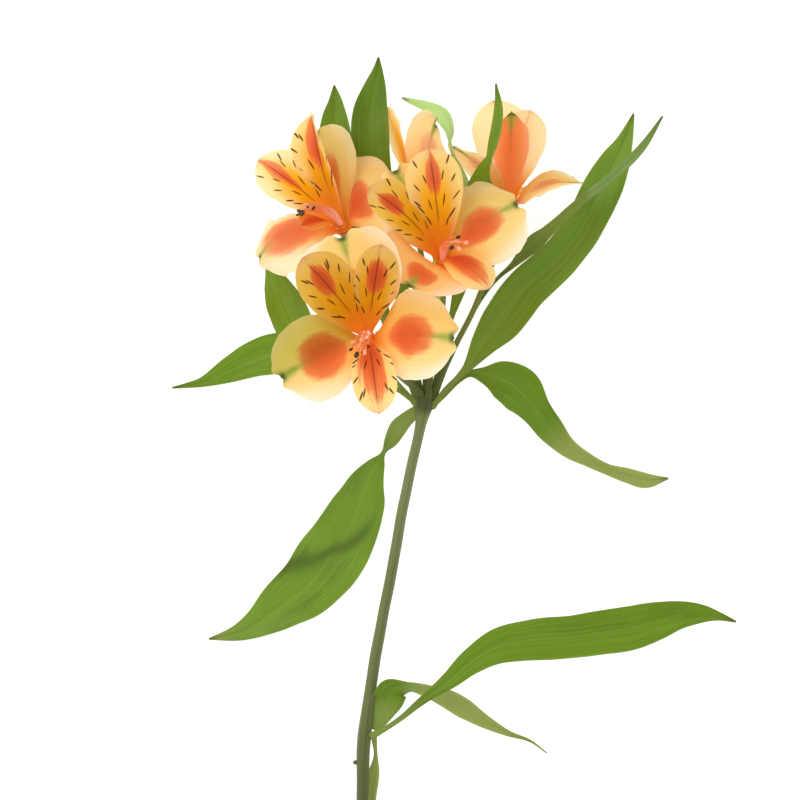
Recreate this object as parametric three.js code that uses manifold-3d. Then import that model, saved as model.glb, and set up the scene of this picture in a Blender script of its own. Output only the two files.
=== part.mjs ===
// An alstroemeria stem, cut and laid down on a flat surface.
// One stem carries thirteen narrow leaves, most of them in a whorl under the umbel, and five
// pedicels with a bloom each. A bloom has three broad outer tepals, three narrower inner
// tepals inside them, and six stamens round a style.
// Millimetres, +Z up. +Y runs along the stem from its cut end to the blooms. The stem is drawn
// in a sketch frame whose surface is z = 0, and the group is moved at the end so that the
// origin lies under the middle of the whole.
import * as THREE from 'three';
import { mergeVertices } from 'three/addons/utils/BufferGeometryUtils.js';
import Module from 'manifold-3d';

const wasm = await Module();
wasm.setup();

// ---------------------------------------------------------------- driving dimensions
const STEM_SIDES = 10;
const STEM_STEPS = 26;
const PEDICEL_SIDES = 8;
const PEDICEL_STEPS = 11;
const LEAF_THICKNESS = 0.7;
const PETIOLE_THICKNESS = 1.1;
const PETIOLE_SHARE = 0.16;
const LEAF_STEPS = 16;
const LEAF_ACROSS = 2;
const LEAF_WAVES = 3;
const LEAF_TIP_HALF_WIDTH = 0.3;
const TEPAL_THICKNESS = 0.65;
const TEPAL_STEPS = 6;
const OUTER_ACROSS = 6;
const INNER_ACROSS = 4;
const ARC_STEPS = 24;
const TANGENT_STEP = 0.01;

// Stem centre line from the cut end to the umbel: x, y, z, radius.
const STEM = [
  [-12.6, -186, 2.35, 2.35],
  [-13.2, -160, 5.6, 2.3],
  [-13.3, -140, 8.6, 2.2],
  [-13.2, -128, 10.6, 2.35],
  [-12.6, -119, 12.2, 2.45],
  [-11.2, -108, 14, 2.1],
  [-9.2, -94, 16.2, 2.05],
  [-6.3, -78, 18.8, 1.95],
  [-2.8, -60, 21.6, 1.9],
  [0.7, -40, 24.6, 1.85],
  [4.4, -22, 27.2, 1.8],
  [7.3, -9, 29.2, 1.95],
  [8.3, -3, 30.0, 2.9],
  [8.8, 0.6, 30.5, 2.7],
];

// Leaves: x, y, z, half width, roll in degrees (positive lifts the right edge, seen along
// the leaf). The first row is at the stem and the last at the tip.
const LEAVES = {
  leaf_upper_1: { keel: 0.2, wave: 0.05, rows: [
    [5.2, 1.9, 27.2, 0.8, 0], [1, 12, 24, 0.9, 0], [-6, 32, 18, 2.2, 0], [-14, 58, 12, 5.2, 0],
    [-20, 78, 9, 6.8, 0], [-23, 92, 7.5, 6.4, 0], [-23.4, 101, 6.5, 4.6, 0],
    [-23.2, 107, 5.5, 2.6, 0], [-23.6, 113, 4.5, 0.3, 0]] },
  leaf_upper_2: { keel: 0.15, wave: 0.06, rows: [
    [7.3, 2.9, 26.3, 0.8, 0], [5.5, 14, 24.5, 0.9, 0], [1, 36, 22, 2.6, 0], [-5, 60, 20.5, 5.4, 0],
    [-9.5, 80, 20.2, 6.6, 0], [-10.6, 94, 21.5, 6.8, 0], [-10.4, 103, 20.5, 6.0, 0],
    [-9, 111, 18, 4.1, 0], [-8, 117.5, 15, 1.9, 0], [-7.7, 122.5, 12, 0.3, 0]] },
  leaf_upper_3: { keel: 0.2, wave: 0.04, rows: [
    [9.2, 2.9, 26.2, 0.8, 0], [11, 16, 24.5, 0.9, 0], [13, 36, 23.5, 2.6, 5], [17, 58, 27.5, 3.6, 10],
    [22, 73, 31, 2.8, 10], [20.4, 82, 38, 2.5, 45], [17.8, 89.5, 41, 1.7, 95],
    [17.2, 95.4, 38, 2.8, 135], [14.6, 100.8, 34, 3.3, 150], [9, 104, 30, 2, 160],
    [4, 105.8, 27, 1.1, 163], [0.8, 107, 25, 0.3, 165]] },
  leaf_upper_4: { keel: 0.2, wave: 0.04, rows: [
    [11.4, 3.0, 27.4, 0.8, 0], [13.8, 12, 29, 0.8, 0], [17.8, 28, 31.5, 0.9, 0],
    [20.8, 39, 33.5, 2.3, -10], [24.6, 56, 35.5, 4.6, -10], [28.2, 71, 36, 6, 10],
    [30.2, 78.5, 39, 4.8, 40], [31.8, 84, 43.5, 3.6, 74], [33.2, 90.5, 44.5, 3.0, 58],
    [34.5, 98, 44.5, 2.7, 50], [34.6, 104.5, 43.5, 1.7, 45], [33.6, 111, 42, 0.3, 40]] },
  leaf_right_1: { keel: 0.22, wave: 0.05, rows: [
    [12.2, -1.5, 31, 0.8, 0], [16.5, 5.6, 31.4, 0.8, 0], [20.6, 9.6, 31, 0.9, 0],
    [24.2, 13.4, 29.8, 2.2, 0], [29.9, 20.3, 27.5, 4.9, 0], [36.3, 28.2, 24.5, 7.5, 0],
    [44.4, 39, 21, 7.5, 0], [56.8, 50.6, 17, 7.2, 0], [65.2, 61.8, 13.5, 7.1, 0],
    [72, 75, 10, 7, 0], [76.8, 84.8, 7, 5.6, 0], [80.4, 92.4, 4.5, 3.2, 0], [84, 103, 2, 0.3, 0]] },
  leaf_right_2: { keel: 0.15, wave: 0.03, rows: [
    [12.4, 1.2, 27.8, 0.7, 0], [16.9, 12.6, 25.6, 0.7, 0], [22.8, 25, 25.6, 0.7, 0],
    [28.8, 36, 27, 0.7, 0], [34.8, 43.3, 28, 0.7, 20], [39.4, 47.2, 29, 1.2, 30],
    [43.8, 51.6, 30, 2.6, 30], [47.6, 55.4, 30, 3.3, 25], [52, 59, 30, 3.2, 48],
    [57, 63.7, 29, 3.4, 62], [66.6, 72, 25.5, 3.6, 62], [75, 78.6, 21.5, 3.4, 62],
    [82.2, 85.2, 17.5, 2.9, 58], [87.8, 91.8, 14, 1.8, 45], [94, 101.6, 9.5, 0.3, 30]] },
  leaf_right_3: { keel: 0.15, wave: 0.08, rows: [
    [11.6, -2.2, 28.6, 0.8, 0], [15.6, 2, 28.8, 0.8, 0], [20.2, 6.8, 28.6, 0.8, 0],
    [24.8, 9.3, 28, 0.9, 0], [29.4, 8.9, 26.8, 2.8, 0], [35, 7.4, 24.6, 6.2, 0],
    [41.9, 3.2, 20.8, 7.3, 0], [48.3, -3.6, 15.8, 5.6, 0], [54, -10.8, 10.8, 4.8, 0],
    [60.2, -17.2, 7, 3.4, 0], [67.6, -21.6, 4.4, 2.3, 0], [74.7, -25, 2.6, 1.8, 0],
    [81.6, -26.9, 1.4, 2.3, 0], [88.6, -28.6, 0.8, 2.2, 0], [96.6, -28.2, 0.4, 0.3, 0]] },
  leaf_left_1: { keel: 0.12, wave: 0.04, rows: [
    [4.8, -0.6, 28, 0.8, 0], [-2, 7, 26, 0.9, 0], [-14, 15.6, 21.5, 3.6, 0],
    [-28, 18.6, 16.5, 6.6, 0], [-42.4, 17, 11.5, 7.2, 0], [-51.6, 14.9, 8, 6.6, 0],
    [-61.6, 10.6, 4.6, 4.5, 0], [-70.6, 6.6, 2, 1.9, 0], [-77, 5.2, 1, 0.9, 0],
    [-82, 4.4, 0.4, 0.3, 0]] },
  leaf_left_2: { keel: 0.2, wave: 0.04, rows: [
    [5.3, -0.6, 31.2, 0.8, 0], [-2.5, 4.6, 31, 0.9, 0], [-14, 8.6, 29, 2.2, 0],
    [-26, 14, 25.5, 5, 0], [-35.5, 23, 22, 6.8, 0], [-40.4, 33, 19.5, 6.8, 0],
    [-43.6, 40.6, 17.5, 4.8, 10], [-45.8, 46, 16, 2.6, 30], [-47.6, 52.4, 14, 0.4, 30]] },
  leaf_left_3: { keel: 0.1, wave: 0.1, rows: [
    [4.2, -5.2, 29.6, 1.1, 0], [2.0, -7.2, 28.8, 2.0, 0], [-0.4, -10.2, 28, 2.6, 0],
    [-3.4, -14.8, 27, 2.2, 25], [-6, -18.6, 26, 1.5, 65], [-8.4, -22.6, 25, 3.3, 20],
    [-11.6, -29, 22.6, 6.3, 0], [-14.2, -36.4, 19.6, 9.0, 0], [-20.9, -50.5, 13.6, 11.8, 0],
    [-26, -58, 10.4, 12, 0], [-33.2, -66.8, 7, 10.8, 0], [-41.6, -73, 4.2, 9, 0],
    [-51.4, -80.2, 2, 5.4, 0], [-58.8, -83.8, 1, 2.9, 0], [-68.8, -86, 0.4, 0.3, 0]] },
  leaf_low_1: { keel: 0.12, wave: 0.05, rows: [
    [-9.2, -119.4, 14.2, 1.0, 0], [-4.5, -116.6, 17, 0.9, 0], [1, -112.6, 19.5, 1.0, 0],
    [6.6, -107.8, 21.2, 1.4, 0], [12, -103.6, 21.8, 2.0, 0], [18, -99.2, 21.6, 3.2, 0],
    [25, -93.2, 20.6, 4.6, 0], [34.8, -87.6, 18.6, 6.3, 0], [46, -85.6, 15.8, 7.3, 0],
    [61, -84.6, 12, 7.6, 0], [71.6, -83.2, 9.4, 8, 0], [82, -81.8, 6.8, 7.9, 0],
    [92.2, -79.2, 4.6, 6.8, 0], [100.4, -77.2, 3, 5, 0], [108.6, -76.8, 1.8, 3.3, 0],
    [114.8, -77.8, 1, 1.6, 0], [121, -79.8, 0.4, 0.3, 0]] },
  leaf_low_2: { keel: 0.1, wave: 0.04, rows: [
    [-8.9, -116.4, 12, 1.0, 0], [-7.2, -112.6, 12.2, 2.2, -10], [-4.4, -107.4, 13.2, 4.8, -5],
    [-2.2, -103, 14.8, 6, -35], [4, -101.6, 15.6, 3.8, -60], [9.6, -103.2, 15, 3.2, -40],
    [16.6, -106, 12.6, 3.4, -20], [23.4, -110, 9, 3.3, 0], [30.6, -115, 5.4, 2.2, 0],
    [39, -119.6, 2.6, 1.2, 0], [47, -123, 1, 0.7, 0], [52.8, -127, 0.4, 0.3, 0]] },
  leaf_low_3: { keel: 0.1, wave: 0.04, rows: [
    [-9.2, -121.6, 11.2, 0.7, 0], [-8.7, -127, 8.8, 0.7, 0], [-9.4, -134, 6, 2, 0],
    [-10.6, -146, 3.6, 3.4, 0], [-11.6, -158, 1.8, 3.2, 0], [-11.8, -168, 0.8, 2, 0],
    [-11.4, -178, 0.4, 0.3, 0]] },
};

// Blooms: the seat where the tepals meet, the way the bloom faces, the way its dorsal side
// points, the pedicel's points from the umbel, and the six tepals. A tepal's clock is its
// angle round the bloom from the dorsal side, anticlockwise as the bloom faces the eye. Flare
// adds to its spread, cup and fold raise its edges, and roll turns it about its own length. The
// stamens droop toward a clock angle.
const BLOOMS = {
  front: {
    seat: [-11, 21.5, 64], facing: [-0.02, 0.2, 0.98], dorsal: [-0.225, 0.974, 0],
    droop: { clock: 150, drop: 8.5 },
    pedicel: [[7.2, 0.86, 32.4], [7.3, 2.2, 32.7], [1, 7.5, 40], [-6, 14.5, 48]],
    outer: [
      { clock: 2, reach: 36.4, flare: 28, roll: 10, cup: 0.26, fold: 0.12, wide: 1.2 },
      { clock: 106.5, reach: 36.5, flare: 27, roll: 27, cup: 0.18 },
      { clock: -113, reach: 36.5, flare: -6, roll: -20, cup: 0.28, wide: 1.05 }],
    inner: [
      { clock: 31.5, reach: 41.3, flare: 12, roll: -9, cup: 0.06, wide: 1.16 },
      { clock: -23.5, reach: 36.5, flare: 14, roll: -10, cup: 0.1, wide: 0.86 },
      { clock: 175, reach: 42, flare: 16, wide: 0.88 }],
  },
  left: {
    seat: [-19.7, 60.4, 31], facing: [-0.43, 0.68, 0.59], dorsal: [-0.53, 0.85, 0],
    droop: { clock: 139, drop: 12.5 },
    pedicel: [[6.6, 1.27, 30], [6.8, 3, 30.2], [-1, 18, 25.5], [-10, 38, 22]],
    outer: [
      { clock: -17, reach: 36.5, wide: 0.95 },
      { clock: 90, reach: 33, flare: 40, roll: -5, cup: -0.22, wide: 1.38 },
      { clock: -97, reach: 23, flare: 43, roll: -25, cup: -0.19, wide: 1.35 }],
    inner: [
      { clock: 34.5, reach: 37.5, flare: -17, roll: -4, cup: 0, wide: 1.18 },
      { clock: -23, reach: 42, flare: 4, roll: 35, fold: 0.6, wide: 0.85 },
      { clock: 134, reach: 24, flare: -2, roll: 60, cup: 0, wide: 0.5 }],
  },
  right: {
    seat: [15, 48, 44.5], facing: [-0.025, 0.555, 0.83], dorsal: [-0.537, 0.7, -0.468],
    droop: { clock: -175, drop: 9.5 },
    pedicel: [[9.7, 0.51, 32.4], [9.95, 2.3, 32.65], [12, 18, 32.5], [15, 33, 32.5]],
    outer: [
      { clock: 0.5, reach: 35 },
      { clock: 120, reach: 25, flare: 7, roll: 18, cup: 0.26, fold: 0.14, wide: 1.08 },
      { clock: -96, reach: 32.5, flare: 11, roll: 10, cup: -0.07, wide: 1.28 }],
    inner: [
      { clock: 31, reach: 39, flare: 5, wide: 0.95 },
      { clock: -24, reach: 40, wide: 1.15 },
      { clock: -174, reach: 31, flare: 42, roll: 18, cup: -0.15, wide: 0.88 }],
  },
  back_middle: {
    seat: [6.5, 71, 33], facing: [0.08, 0.9, -0.42], dorsal: [0, 0.42, 0.9],
    droop: { clock: 180, drop: 2 },
    pedicel: [[8.9, 1.04, 29.4], [9.1, 2.8, 29.5], [8.6, 22, 29], [8.2, 46, 30.5]],
    outer: [
      { clock: 10, reach: 32, flare: 17, roll: 66, cup: -0.05, wide: 0.68 },
      { clock: 153, reach: 28, flare: -16, wide: 0.5 },
      { clock: -149, reach: 34, flare: -5, wide: 0.42 }],
    inner: [
      { clock: 24, reach: 20, flare: -38, wide: 0.45 },
      { clock: -88, reach: 35.5, flare: -46, roll: -12, cup: -0.1, wide: 1 },
      { clock: 170, reach: 30, flare: -20, wide: 0.75 }],
  },
  back_right: {
    seat: [39, 69.4, 33], facing: [-0.07, 0.71, -0.7], dorsal: [0, 0.7, 0.71],
    droop: { clock: 180, drop: 2 },
    pedicel: [[11.2, 0.61, 30.2], [11.5, 2.4, 30.4], [17, 14.5, 31], [25.6, 31, 31], [33, 49, 32]],
    outer: [
      { clock: 4, reach: 30.5, flare: -10, roll: -6, cup: 0.1, wide: 0.46 },
      { clock: 96, reach: 27.6, flare: 20, roll: -46, cup: -0.02, wide: 0.9 },
      { clock: -50, reach: 27.5, flare: 14, roll: 48, cup: -0.08, wide: 0.56 }],
    inner: [
      { clock: -10, reach: 36.5, flare: -24, roll: 8, cup: 0.3, fold: 0.15, wide: 1.2 },
      { clock: 24.8, reach: 33, flare: -10, roll: -18, cup: 0, wide: 1.2 },
      { clock: 180, reach: 30, flare: -15 }],
  },
};

// Tepals: half width of the claw and of the limb, where the limb is widest, the angle to the
// bloom's axis at the claw and at the tip, and where the middle line starts in the disc. The
// claw opens into the limb by the power given as opening. An outer tepal ends blunt, in two
// round lobes, and an inner one narrows to a tip.
const OUTER = {
  claw: 2.3, limb: 14.8, widest: 0.64, rise: 27, spread: 80, seatRadius: 2.3, seatHeight: 0.5,
  across: OUTER_ACROSS, lobe: 0.055, opening: 0.65,
  closing: (past) => Math.sqrt(1 - 0.8 * past ** 2.4),
};
const INNER = {
  claw: 1.6, limb: 8.6, widest: 0.7, rise: 17, spread: 70, seatRadius: 1.4, seatHeight: 1.6,
  across: INNER_ACROSS, lobe: 0, opening: 0.73,
  closing: (past) => (1 - past ** 2.6) ** 0.65,
};
const TEPAL_CUP = 0.16;
const CLAW_SHARE = 0.04;

// The discs that the tepals and stamens grow from, the ovary and the stamens.
const OUTER_DISC_RADIUS = 2.5;
const INNER_DISC_RADIUS = 1.9;
const STAMEN_DISC_RADIUS = 0.9;
const DISC_HEIGHT = 0.8;
const DISC_GAP = 0.3;
const DISC_SIDES = 9;
const OVARY_LENGTH = 8;
const OVARY_RADIUS = 2.5;
const OVARY_NECK_LENGTH = 3;
const OVARY_NECK_RADIUS = 1.3;
const PEDICEL_RADIUS = 1;
const STAMEN_COUNT = 6;
const STAMEN_LENGTHS = [20.5, 21.8, 23, 24.3];
const STYLE_LENGTH = 23;
const FILAMENT_RADIUS = 0.45;
const FILAMENT_SIDES = 3;
const FILAMENT_STEPS = 4;
const FILAMENT_SHARES = [0, 0.3, 0.6, 0.85, 1];
const FILAMENT_START = 0.2;
const FILAMENT_SPREAD = 2.4;
const FILAMENT_FORESHORTENING = 0.12;
const ANTHER_RADIUS = 1.2;
const STIGMA_RADIUS = 0.7;
const ANTHER_SIDES = 5;
const ANTHER_RINGS = 3;
const SMALLEST_HALF_WIDTH = 0.35;

// ---------------------------------------------------------------- colours
const STEM_GREEN = '#7b8a45';
const LEAF_GREEN = '#7ba428';
const PEDICEL_GREEN = '#85893f';
const OUTER_PEACH = '#f6bd79';
const INNER_YELLOW = '#f2b03a';
const STAMEN_ROSE = '#d8794a';

// ---------------------------------------------------------------- geometry helpers
const radians = THREE.MathUtils.degToRad;
const mix = THREE.MathUtils.lerp;
const smooth = THREE.MathUtils.smoothstep;
const vector = (row) => new THREE.Vector3(row[0], row[1], row[2]);
const ROD_FIRST_SIDE = new THREE.Vector3(0.3, 0.1, 1);

// A smooth curve through rows of numbers whose first three are x, y and z.
function curveThrough(rows) {
  const knots = [0];
  for (let i = 1; i < rows.length; i += 1) {
    knots.push(knots[i - 1] + vector(rows[i]).distanceTo(vector(rows[i - 1])));
  }
  const last = rows.length - 1;
  const slope = (i, k) => {
    const before = Math.max(i - 1, 0);
    const after = Math.min(i + 1, last);
    return (rows[after][k] - rows[before][k]) / (knots[after] - knots[before]);
  };
  return (share) => {
    const distance = share * knots[last];
    let i = 0;
    while (i < last - 1 && distance > knots[i + 1]) i += 1;
    const span = knots[i + 1] - knots[i];
    const f = (distance - knots[i]) / span;
    const f2 = f * f;
    const f3 = f2 * f;
    return rows[i].map((value, k) => value * (2 * f3 - 3 * f2 + 1) + rows[i + 1][k] * (3 * f2 - 2 * f3)
      + slope(i, k) * span * (f3 - 2 * f2 + f) + slope(i + 1, k) * span * (f3 - f2));
  };
}

// The direction of a curve at a share of its length.
function tangentOf(curve, share) {
  const before = vector(curve(Math.max(share - TANGENT_STEP, 0)));
  return vector(curve(Math.min(share + TANGENT_STEP, 1))).sub(before).normalize();
}

function closedGeometry(points, faces) {
  const geometry = new THREE.BufferGeometry();
  const positions = points.flatMap((point) => point.toArray());
  geometry.setAttribute('position', new THREE.Float32BufferAttribute(positions, 3));
  geometry.setIndex(faces);
  geometry.computeVertexNormals();
  return geometry;
}

// A thin sheet, steps long and across wide, closed all round. The surface function gives the
// middle point, the normal and the thickness for each place. Both faces are split alike. A
// place that would dip under the surface the stem lies on is lifted on to it.
function sheet(steps, across, surface) {
  const columns = across + 1;
  const upper = [];
  const lower = [];
  for (let i = 0; i <= steps; i += 1) {
    for (let j = 0; j <= across; j += 1) {
      const { middle, normal, thickness } = surface(i / steps, (2 * j) / across - 1);
      const top = middle.clone().addScaledVector(normal, thickness / 2);
      const bottom = middle.clone().addScaledVector(normal, -thickness / 2);
      const lift = Math.max(0, -Math.min(top.z, bottom.z));
      top.z += lift;
      bottom.z += lift;
      upper.push(top);
      lower.push(bottom);
    }
  }
  const under = upper.length;
  const faces = [];
  const quad = (a, b, c, d) => faces.push(a, b, c, a, c, d);
  for (let i = 0; i < steps; i += 1) {
    for (let j = 0; j < across; j += 1) {
      const a = i * columns + j;
      const b = a + 1;
      const c = a + columns + 1;
      const d = a + columns;
      faces.push(a, b, c, a, c, d);
      faces.push(under + a, under + c, under + b, under + a, under + d, under + c);
    }
    const left = i * columns;
    const right = left + across;
    quad(left, left + columns, under + left + columns, under + left);
    quad(right + columns, right, under + right, under + right + columns);
  }
  for (let j = 0; j < across; j += 1) {
    const end = steps * columns + j;
    quad(j + 1, j, under + j, under + j + 1);
    quad(end, end + 1, under + end + 1, under + end);
  }
  return closedGeometry([...upper, ...lower], faces);
}

// A round rod along a curve of x, y, z and radius rows, closed with a flat face at both ends.
function rod(curve, steps, sides) {
  const points = [];
  const faces = [];
  let across = ROD_FIRST_SIDE;
  for (let i = 0; i <= steps; i += 1) {
    const row = curve(i / steps);
    const tangent = tangentOf(curve, i / steps);
    across = across.clone().addScaledVector(tangent, -across.dot(tangent)).normalize();
    const along = new THREE.Vector3().crossVectors(tangent, across);
    for (let j = 0; j < sides; j += 1) {
      const angle = (2 * Math.PI * j) / sides;
      points.push(vector(row).addScaledVector(across, row[3] * Math.cos(angle))
        .addScaledVector(along, row[3] * Math.sin(angle)));
    }
    for (let j = 0; j < sides && i < steps; j += 1) {
      const a = i * sides + j;
      const b = i * sides + (j + 1) % sides;
      faces.push(a, b, b + sides, a, b + sides, a + sides);
    }
  }
  const end = steps * sides;
  for (let j = 1; j < sides - 1; j += 1) {
    faces.push(0, j + 1, j);
    faces.push(end, end + j, end + j + 1);
  }
  return closedGeometry(points, faces);
}

function solid(geometry) {
  const bare = geometry.index ? geometry.clone() : mergeVertices(geometry);
  bare.deleteAttribute('normal');
  bare.deleteAttribute('uv');
  const merged = mergeVertices(bare, 1e-5);
  return new wasm.Manifold(new wasm.Mesh({
    numProp: 3,
    vertProperties: new Float32Array(merged.attributes.position.array),
    triVerts: new Uint32Array(merged.index.array),
  }));
}

function fused(geometries) {
  const mesh = geometries.map(solid).reduce((sum, next) => sum.add(next)).getMesh();
  const geometry = new THREE.BufferGeometry();
  geometry.setAttribute('position', new THREE.Float32BufferAttribute(mesh.vertProperties, 3));
  geometry.setIndex(new THREE.Uint32BufferAttribute(mesh.triVerts, 1));
  geometry.computeVertexNormals();
  return geometry;
}

const group = new THREE.Group();

function addMesh(name, geometry, color, roughness) {
  const material = new THREE.MeshStandardMaterial({ color, roughness, metalness: 0 });
  const mesh = new THREE.Mesh(geometry, material);
  mesh.name = name;
  group.add(mesh);
}

// ---------------------------------------------------------------- leaves
// The blade lies across its line, turned by the roll. Its two halves rise from the midrib by
// the keel, and its edges wave.
function leafGeometry({ rows, keel, wave }) {
  const curve = curveThrough(rows);
  const up = new THREE.Vector3(0, 0, 1);
  return sheet(LEAF_STEPS, LEAF_ACROSS, (share, v) => {
    const row = curve(share);
    const tangent = tangentOf(curve, share);
    const flat = new THREE.Vector3().crossVectors(tangent, up).normalize();
    const normal = new THREE.Vector3().crossVectors(flat, tangent);
    const roll = radians(row[4]);
    const across = flat.clone().multiplyScalar(Math.cos(roll)).addScaledVector(normal, Math.sin(roll));
    const face = normal.clone().multiplyScalar(Math.cos(roll)).addScaledVector(flat, -Math.sin(roll));
    const width = Math.max(row[3], LEAF_TIP_HALF_WIDTH);
    const ripple = wave * v * v * Math.sin(share * 2 * Math.PI * LEAF_WAVES + v);
    const middle = vector(row).addScaledVector(across, v * width)
      .addScaledVector(face, width * (keel * Math.abs(v) + ripple));
    const thickness = mix(PETIOLE_THICKNESS, LEAF_THICKNESS, smooth(share, 0, PETIOLE_SHARE));
    return { middle, normal: face, thickness };
  });
}

// ---------------------------------------------------------------- blooms
function bloomFrame({ seat, facing, dorsal }) {
  const axis = vector(facing).normalize();
  const top = vector(dorsal).addScaledVector(axis, -vector(dorsal).dot(axis)).normalize();
  return { seat: vector(seat), axis, top, side: new THREE.Vector3().crossVectors(axis, top) };
}

function outward(frame, clock) {
  const angle = radians(clock);
  return frame.top.clone().multiplyScalar(Math.cos(angle)).addScaledVector(frame.side, Math.sin(angle));
}

// How far a tepal has opened from its claw, from 0 to 1.
const tepalOpening = (form, share) => smooth(share, CLAW_SHARE, form.widest) ** form.opening;

// Half width of a tepal along its length: a narrow claw that opens into the limb.
function tepalWidth(form, share) {
  const opening = tepalOpening(form, share);
  const past = Math.max(0, share - form.widest) / (1 - form.widest);
  return Math.max(mix(form.claw, form.limb, opening) * form.closing(past), SMALLEST_HALF_WIDTH);
}

function tepalGeometry(frame, form, tepal) {
  const { clock, reach, flare = 0, roll = 0, cup = TEPAL_CUP, fold = 0, wide = 1 } = tepal;
  const leaning = (share) => radians(mix(form.rise, form.spread + flare, share));
  const along = (share) => {
    const span = (reach * share) / ARC_STEPS;
    let radius = form.seatRadius;
    let height = form.seatHeight;
    for (let k = 0; k < ARC_STEPS; k += 1) {
      const angle = leaning((share * (k + 0.5)) / ARC_STEPS);
      radius += Math.sin(angle) * span;
      height += Math.cos(angle) * span;
    }
    return { radius, height };
  };
  const out = outward(frame, clock);
  const across = new THREE.Vector3().crossVectors(out, frame.axis);
  return sheet(TEPAL_STEPS, form.across, (share, v) => {
    const lobes = form.lobe * Math.sin(Math.PI * v) ** 2;
    const stretched = share * (1 + lobes * share ** 4);
    const { radius, height } = along(stretched);
    const angle = leaning(stretched);
    const face = frame.axis.clone().multiplyScalar(Math.sin(angle)).addScaledVector(out, -Math.cos(angle));
    const turn = radians(roll) * share;
    const sideways = across.clone().multiplyScalar(Math.cos(turn)).addScaledVector(face, Math.sin(turn));
    const normal = face.clone().multiplyScalar(Math.cos(turn)).addScaledVector(across, -Math.sin(turn));
    const width = tepalWidth(form, share) * wide;
    const rise = width * (cup * v * v + fold * Math.abs(v)) * tepalOpening(form, share);
    const middle = frame.seat.clone().addScaledVector(out, radius).addScaledVector(frame.axis, height)
      .addScaledVector(sideways, v * width).addScaledVector(normal, rise);
    return { middle, normal, thickness: TEPAL_THICKNESS };
  });
}

// A low round disc on the bloom's axis, which the tepals or stamens of one ring grow from.
function disc(frame, radius, height) {
  const base = frame.seat.clone().addScaledVector(frame.axis, height);
  const rows = [[...base.toArray(), radius],
    [...base.clone().addScaledVector(frame.axis, DISC_HEIGHT).toArray(), radius]];
  return rod(curveThrough(rows), 1, DISC_SIDES);
}

// Six stamens stand round a style. All of them droop, more and more toward their tips.
function stamenGeometries(frame, { clock, drop }) {
  const base = 2 * (DISC_HEIGHT + DISC_GAP);
  const foot = frame.seat.clone().addScaledVector(frame.axis, base + DISC_HEIGHT / 2);
  const low = outward(frame, clock);
  const filament = (out, spread, length, tipRadius) => {
    const rows = FILAMENT_SHARES.map((share) => {
      const height = length * share * (1 - FILAMENT_FORESHORTENING * share);
      const place = foot.clone().addScaledVector(frame.axis, height)
        .addScaledVector(out, spread * (FILAMENT_START + share))
        .addScaledVector(low, drop * share * share);
      return [...place.toArray(), FILAMENT_RADIUS];
    });
    const tip = new THREE.SphereGeometry(tipRadius, ANTHER_SIDES, ANTHER_RINGS);
    tip.translate(...rows[rows.length - 1].slice(0, 3));
    return [rod(curveThrough(rows), FILAMENT_STEPS, FILAMENT_SIDES), tip];
  };
  const stamens = Array.from({ length: STAMEN_COUNT }, (_, k) => {
    const out = outward(frame, (360 * (k + 0.5)) / STAMEN_COUNT);
    return filament(out, FILAMENT_SPREAD, STAMEN_LENGTHS[k % STAMEN_LENGTHS.length], ANTHER_RADIUS);
  });
  const style = filament(low, 0, STYLE_LENGTH, STIGMA_RADIUS);
  return [disc(frame, STAMEN_DISC_RADIUS, base), ...stamens.flat(), ...style];
}

// The pedicel swells into the ovary that the bloom sits on.
function pedicelGeometry(frame, points) {
  const back = (distance) => frame.seat.clone().addScaledVector(frame.axis, -distance).toArray();
  const rows = points.map((point) => [...point, PEDICEL_RADIUS]);
  rows.push([...back(OVARY_LENGTH + OVARY_NECK_LENGTH), PEDICEL_RADIUS]);
  rows.push([...back(OVARY_LENGTH), OVARY_NECK_RADIUS]);
  rows.push([...back(OVARY_LENGTH / 2), OVARY_RADIUS]);
  rows.push([...back(DISC_GAP), OVARY_RADIUS]);
  return rod(curveThrough(rows), PEDICEL_STEPS, PEDICEL_SIDES);
}

// ---------------------------------------------------------------- the whole stem
addMesh('stem', rod(curveThrough(STEM), STEM_STEPS, STEM_SIDES), STEM_GREEN, 0.55);
for (const [name, leaf] of Object.entries(LEAVES)) {
  addMesh(name, leafGeometry(leaf), LEAF_GREEN, 0.5);
}
for (const [name, bloom] of Object.entries(BLOOMS)) {
  const frame = bloomFrame(bloom);
  const outer = bloom.outer.map((tepal) => tepalGeometry(frame, OUTER, tepal));
  const inner = bloom.inner.map((tepal) => tepalGeometry(frame, INNER, tepal));
  const outerDisc = disc(frame, OUTER_DISC_RADIUS, 0);
  const innerDisc = disc(frame, INNER_DISC_RADIUS, DISC_HEIGHT + DISC_GAP);
  addMesh(`pedicel_${name}`, pedicelGeometry(frame, bloom.pedicel), PEDICEL_GREEN, 0.5);
  addMesh(`bloom_${name}_outer_tepals`, fused([outerDisc, ...outer]), OUTER_PEACH, 0.6);
  addMesh(`bloom_${name}_inner_tepals`, fused([innerDisc, ...inner]), INNER_YELLOW, 0.6);
  addMesh(`bloom_${name}_stamens`, fused(stamenGeometries(frame, bloom.droop)), STAMEN_ROSE, 0.6);
}

const box = new THREE.Box3().setFromObject(group);
const centre = box.getCenter(new THREE.Vector3());
group.position.set(-centre.x, -centre.y, -box.min.z);

export default group;
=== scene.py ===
"""The looks of a cut alstroemeria stem that lies on a pale floor, seen from straight above.

Every CAD node is replaced by a finer piece of the same form: the stem, thirteen leaves, and for
each of five blooms its pedicel with the ovary, the outer tepals, the inner tepals and the
stamens. Lengths are in millimetres in the sketch frame of the part's source, and turn into
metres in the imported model's frame when a mesh is made.
"""
import math
from types import SimpleNamespace

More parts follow.
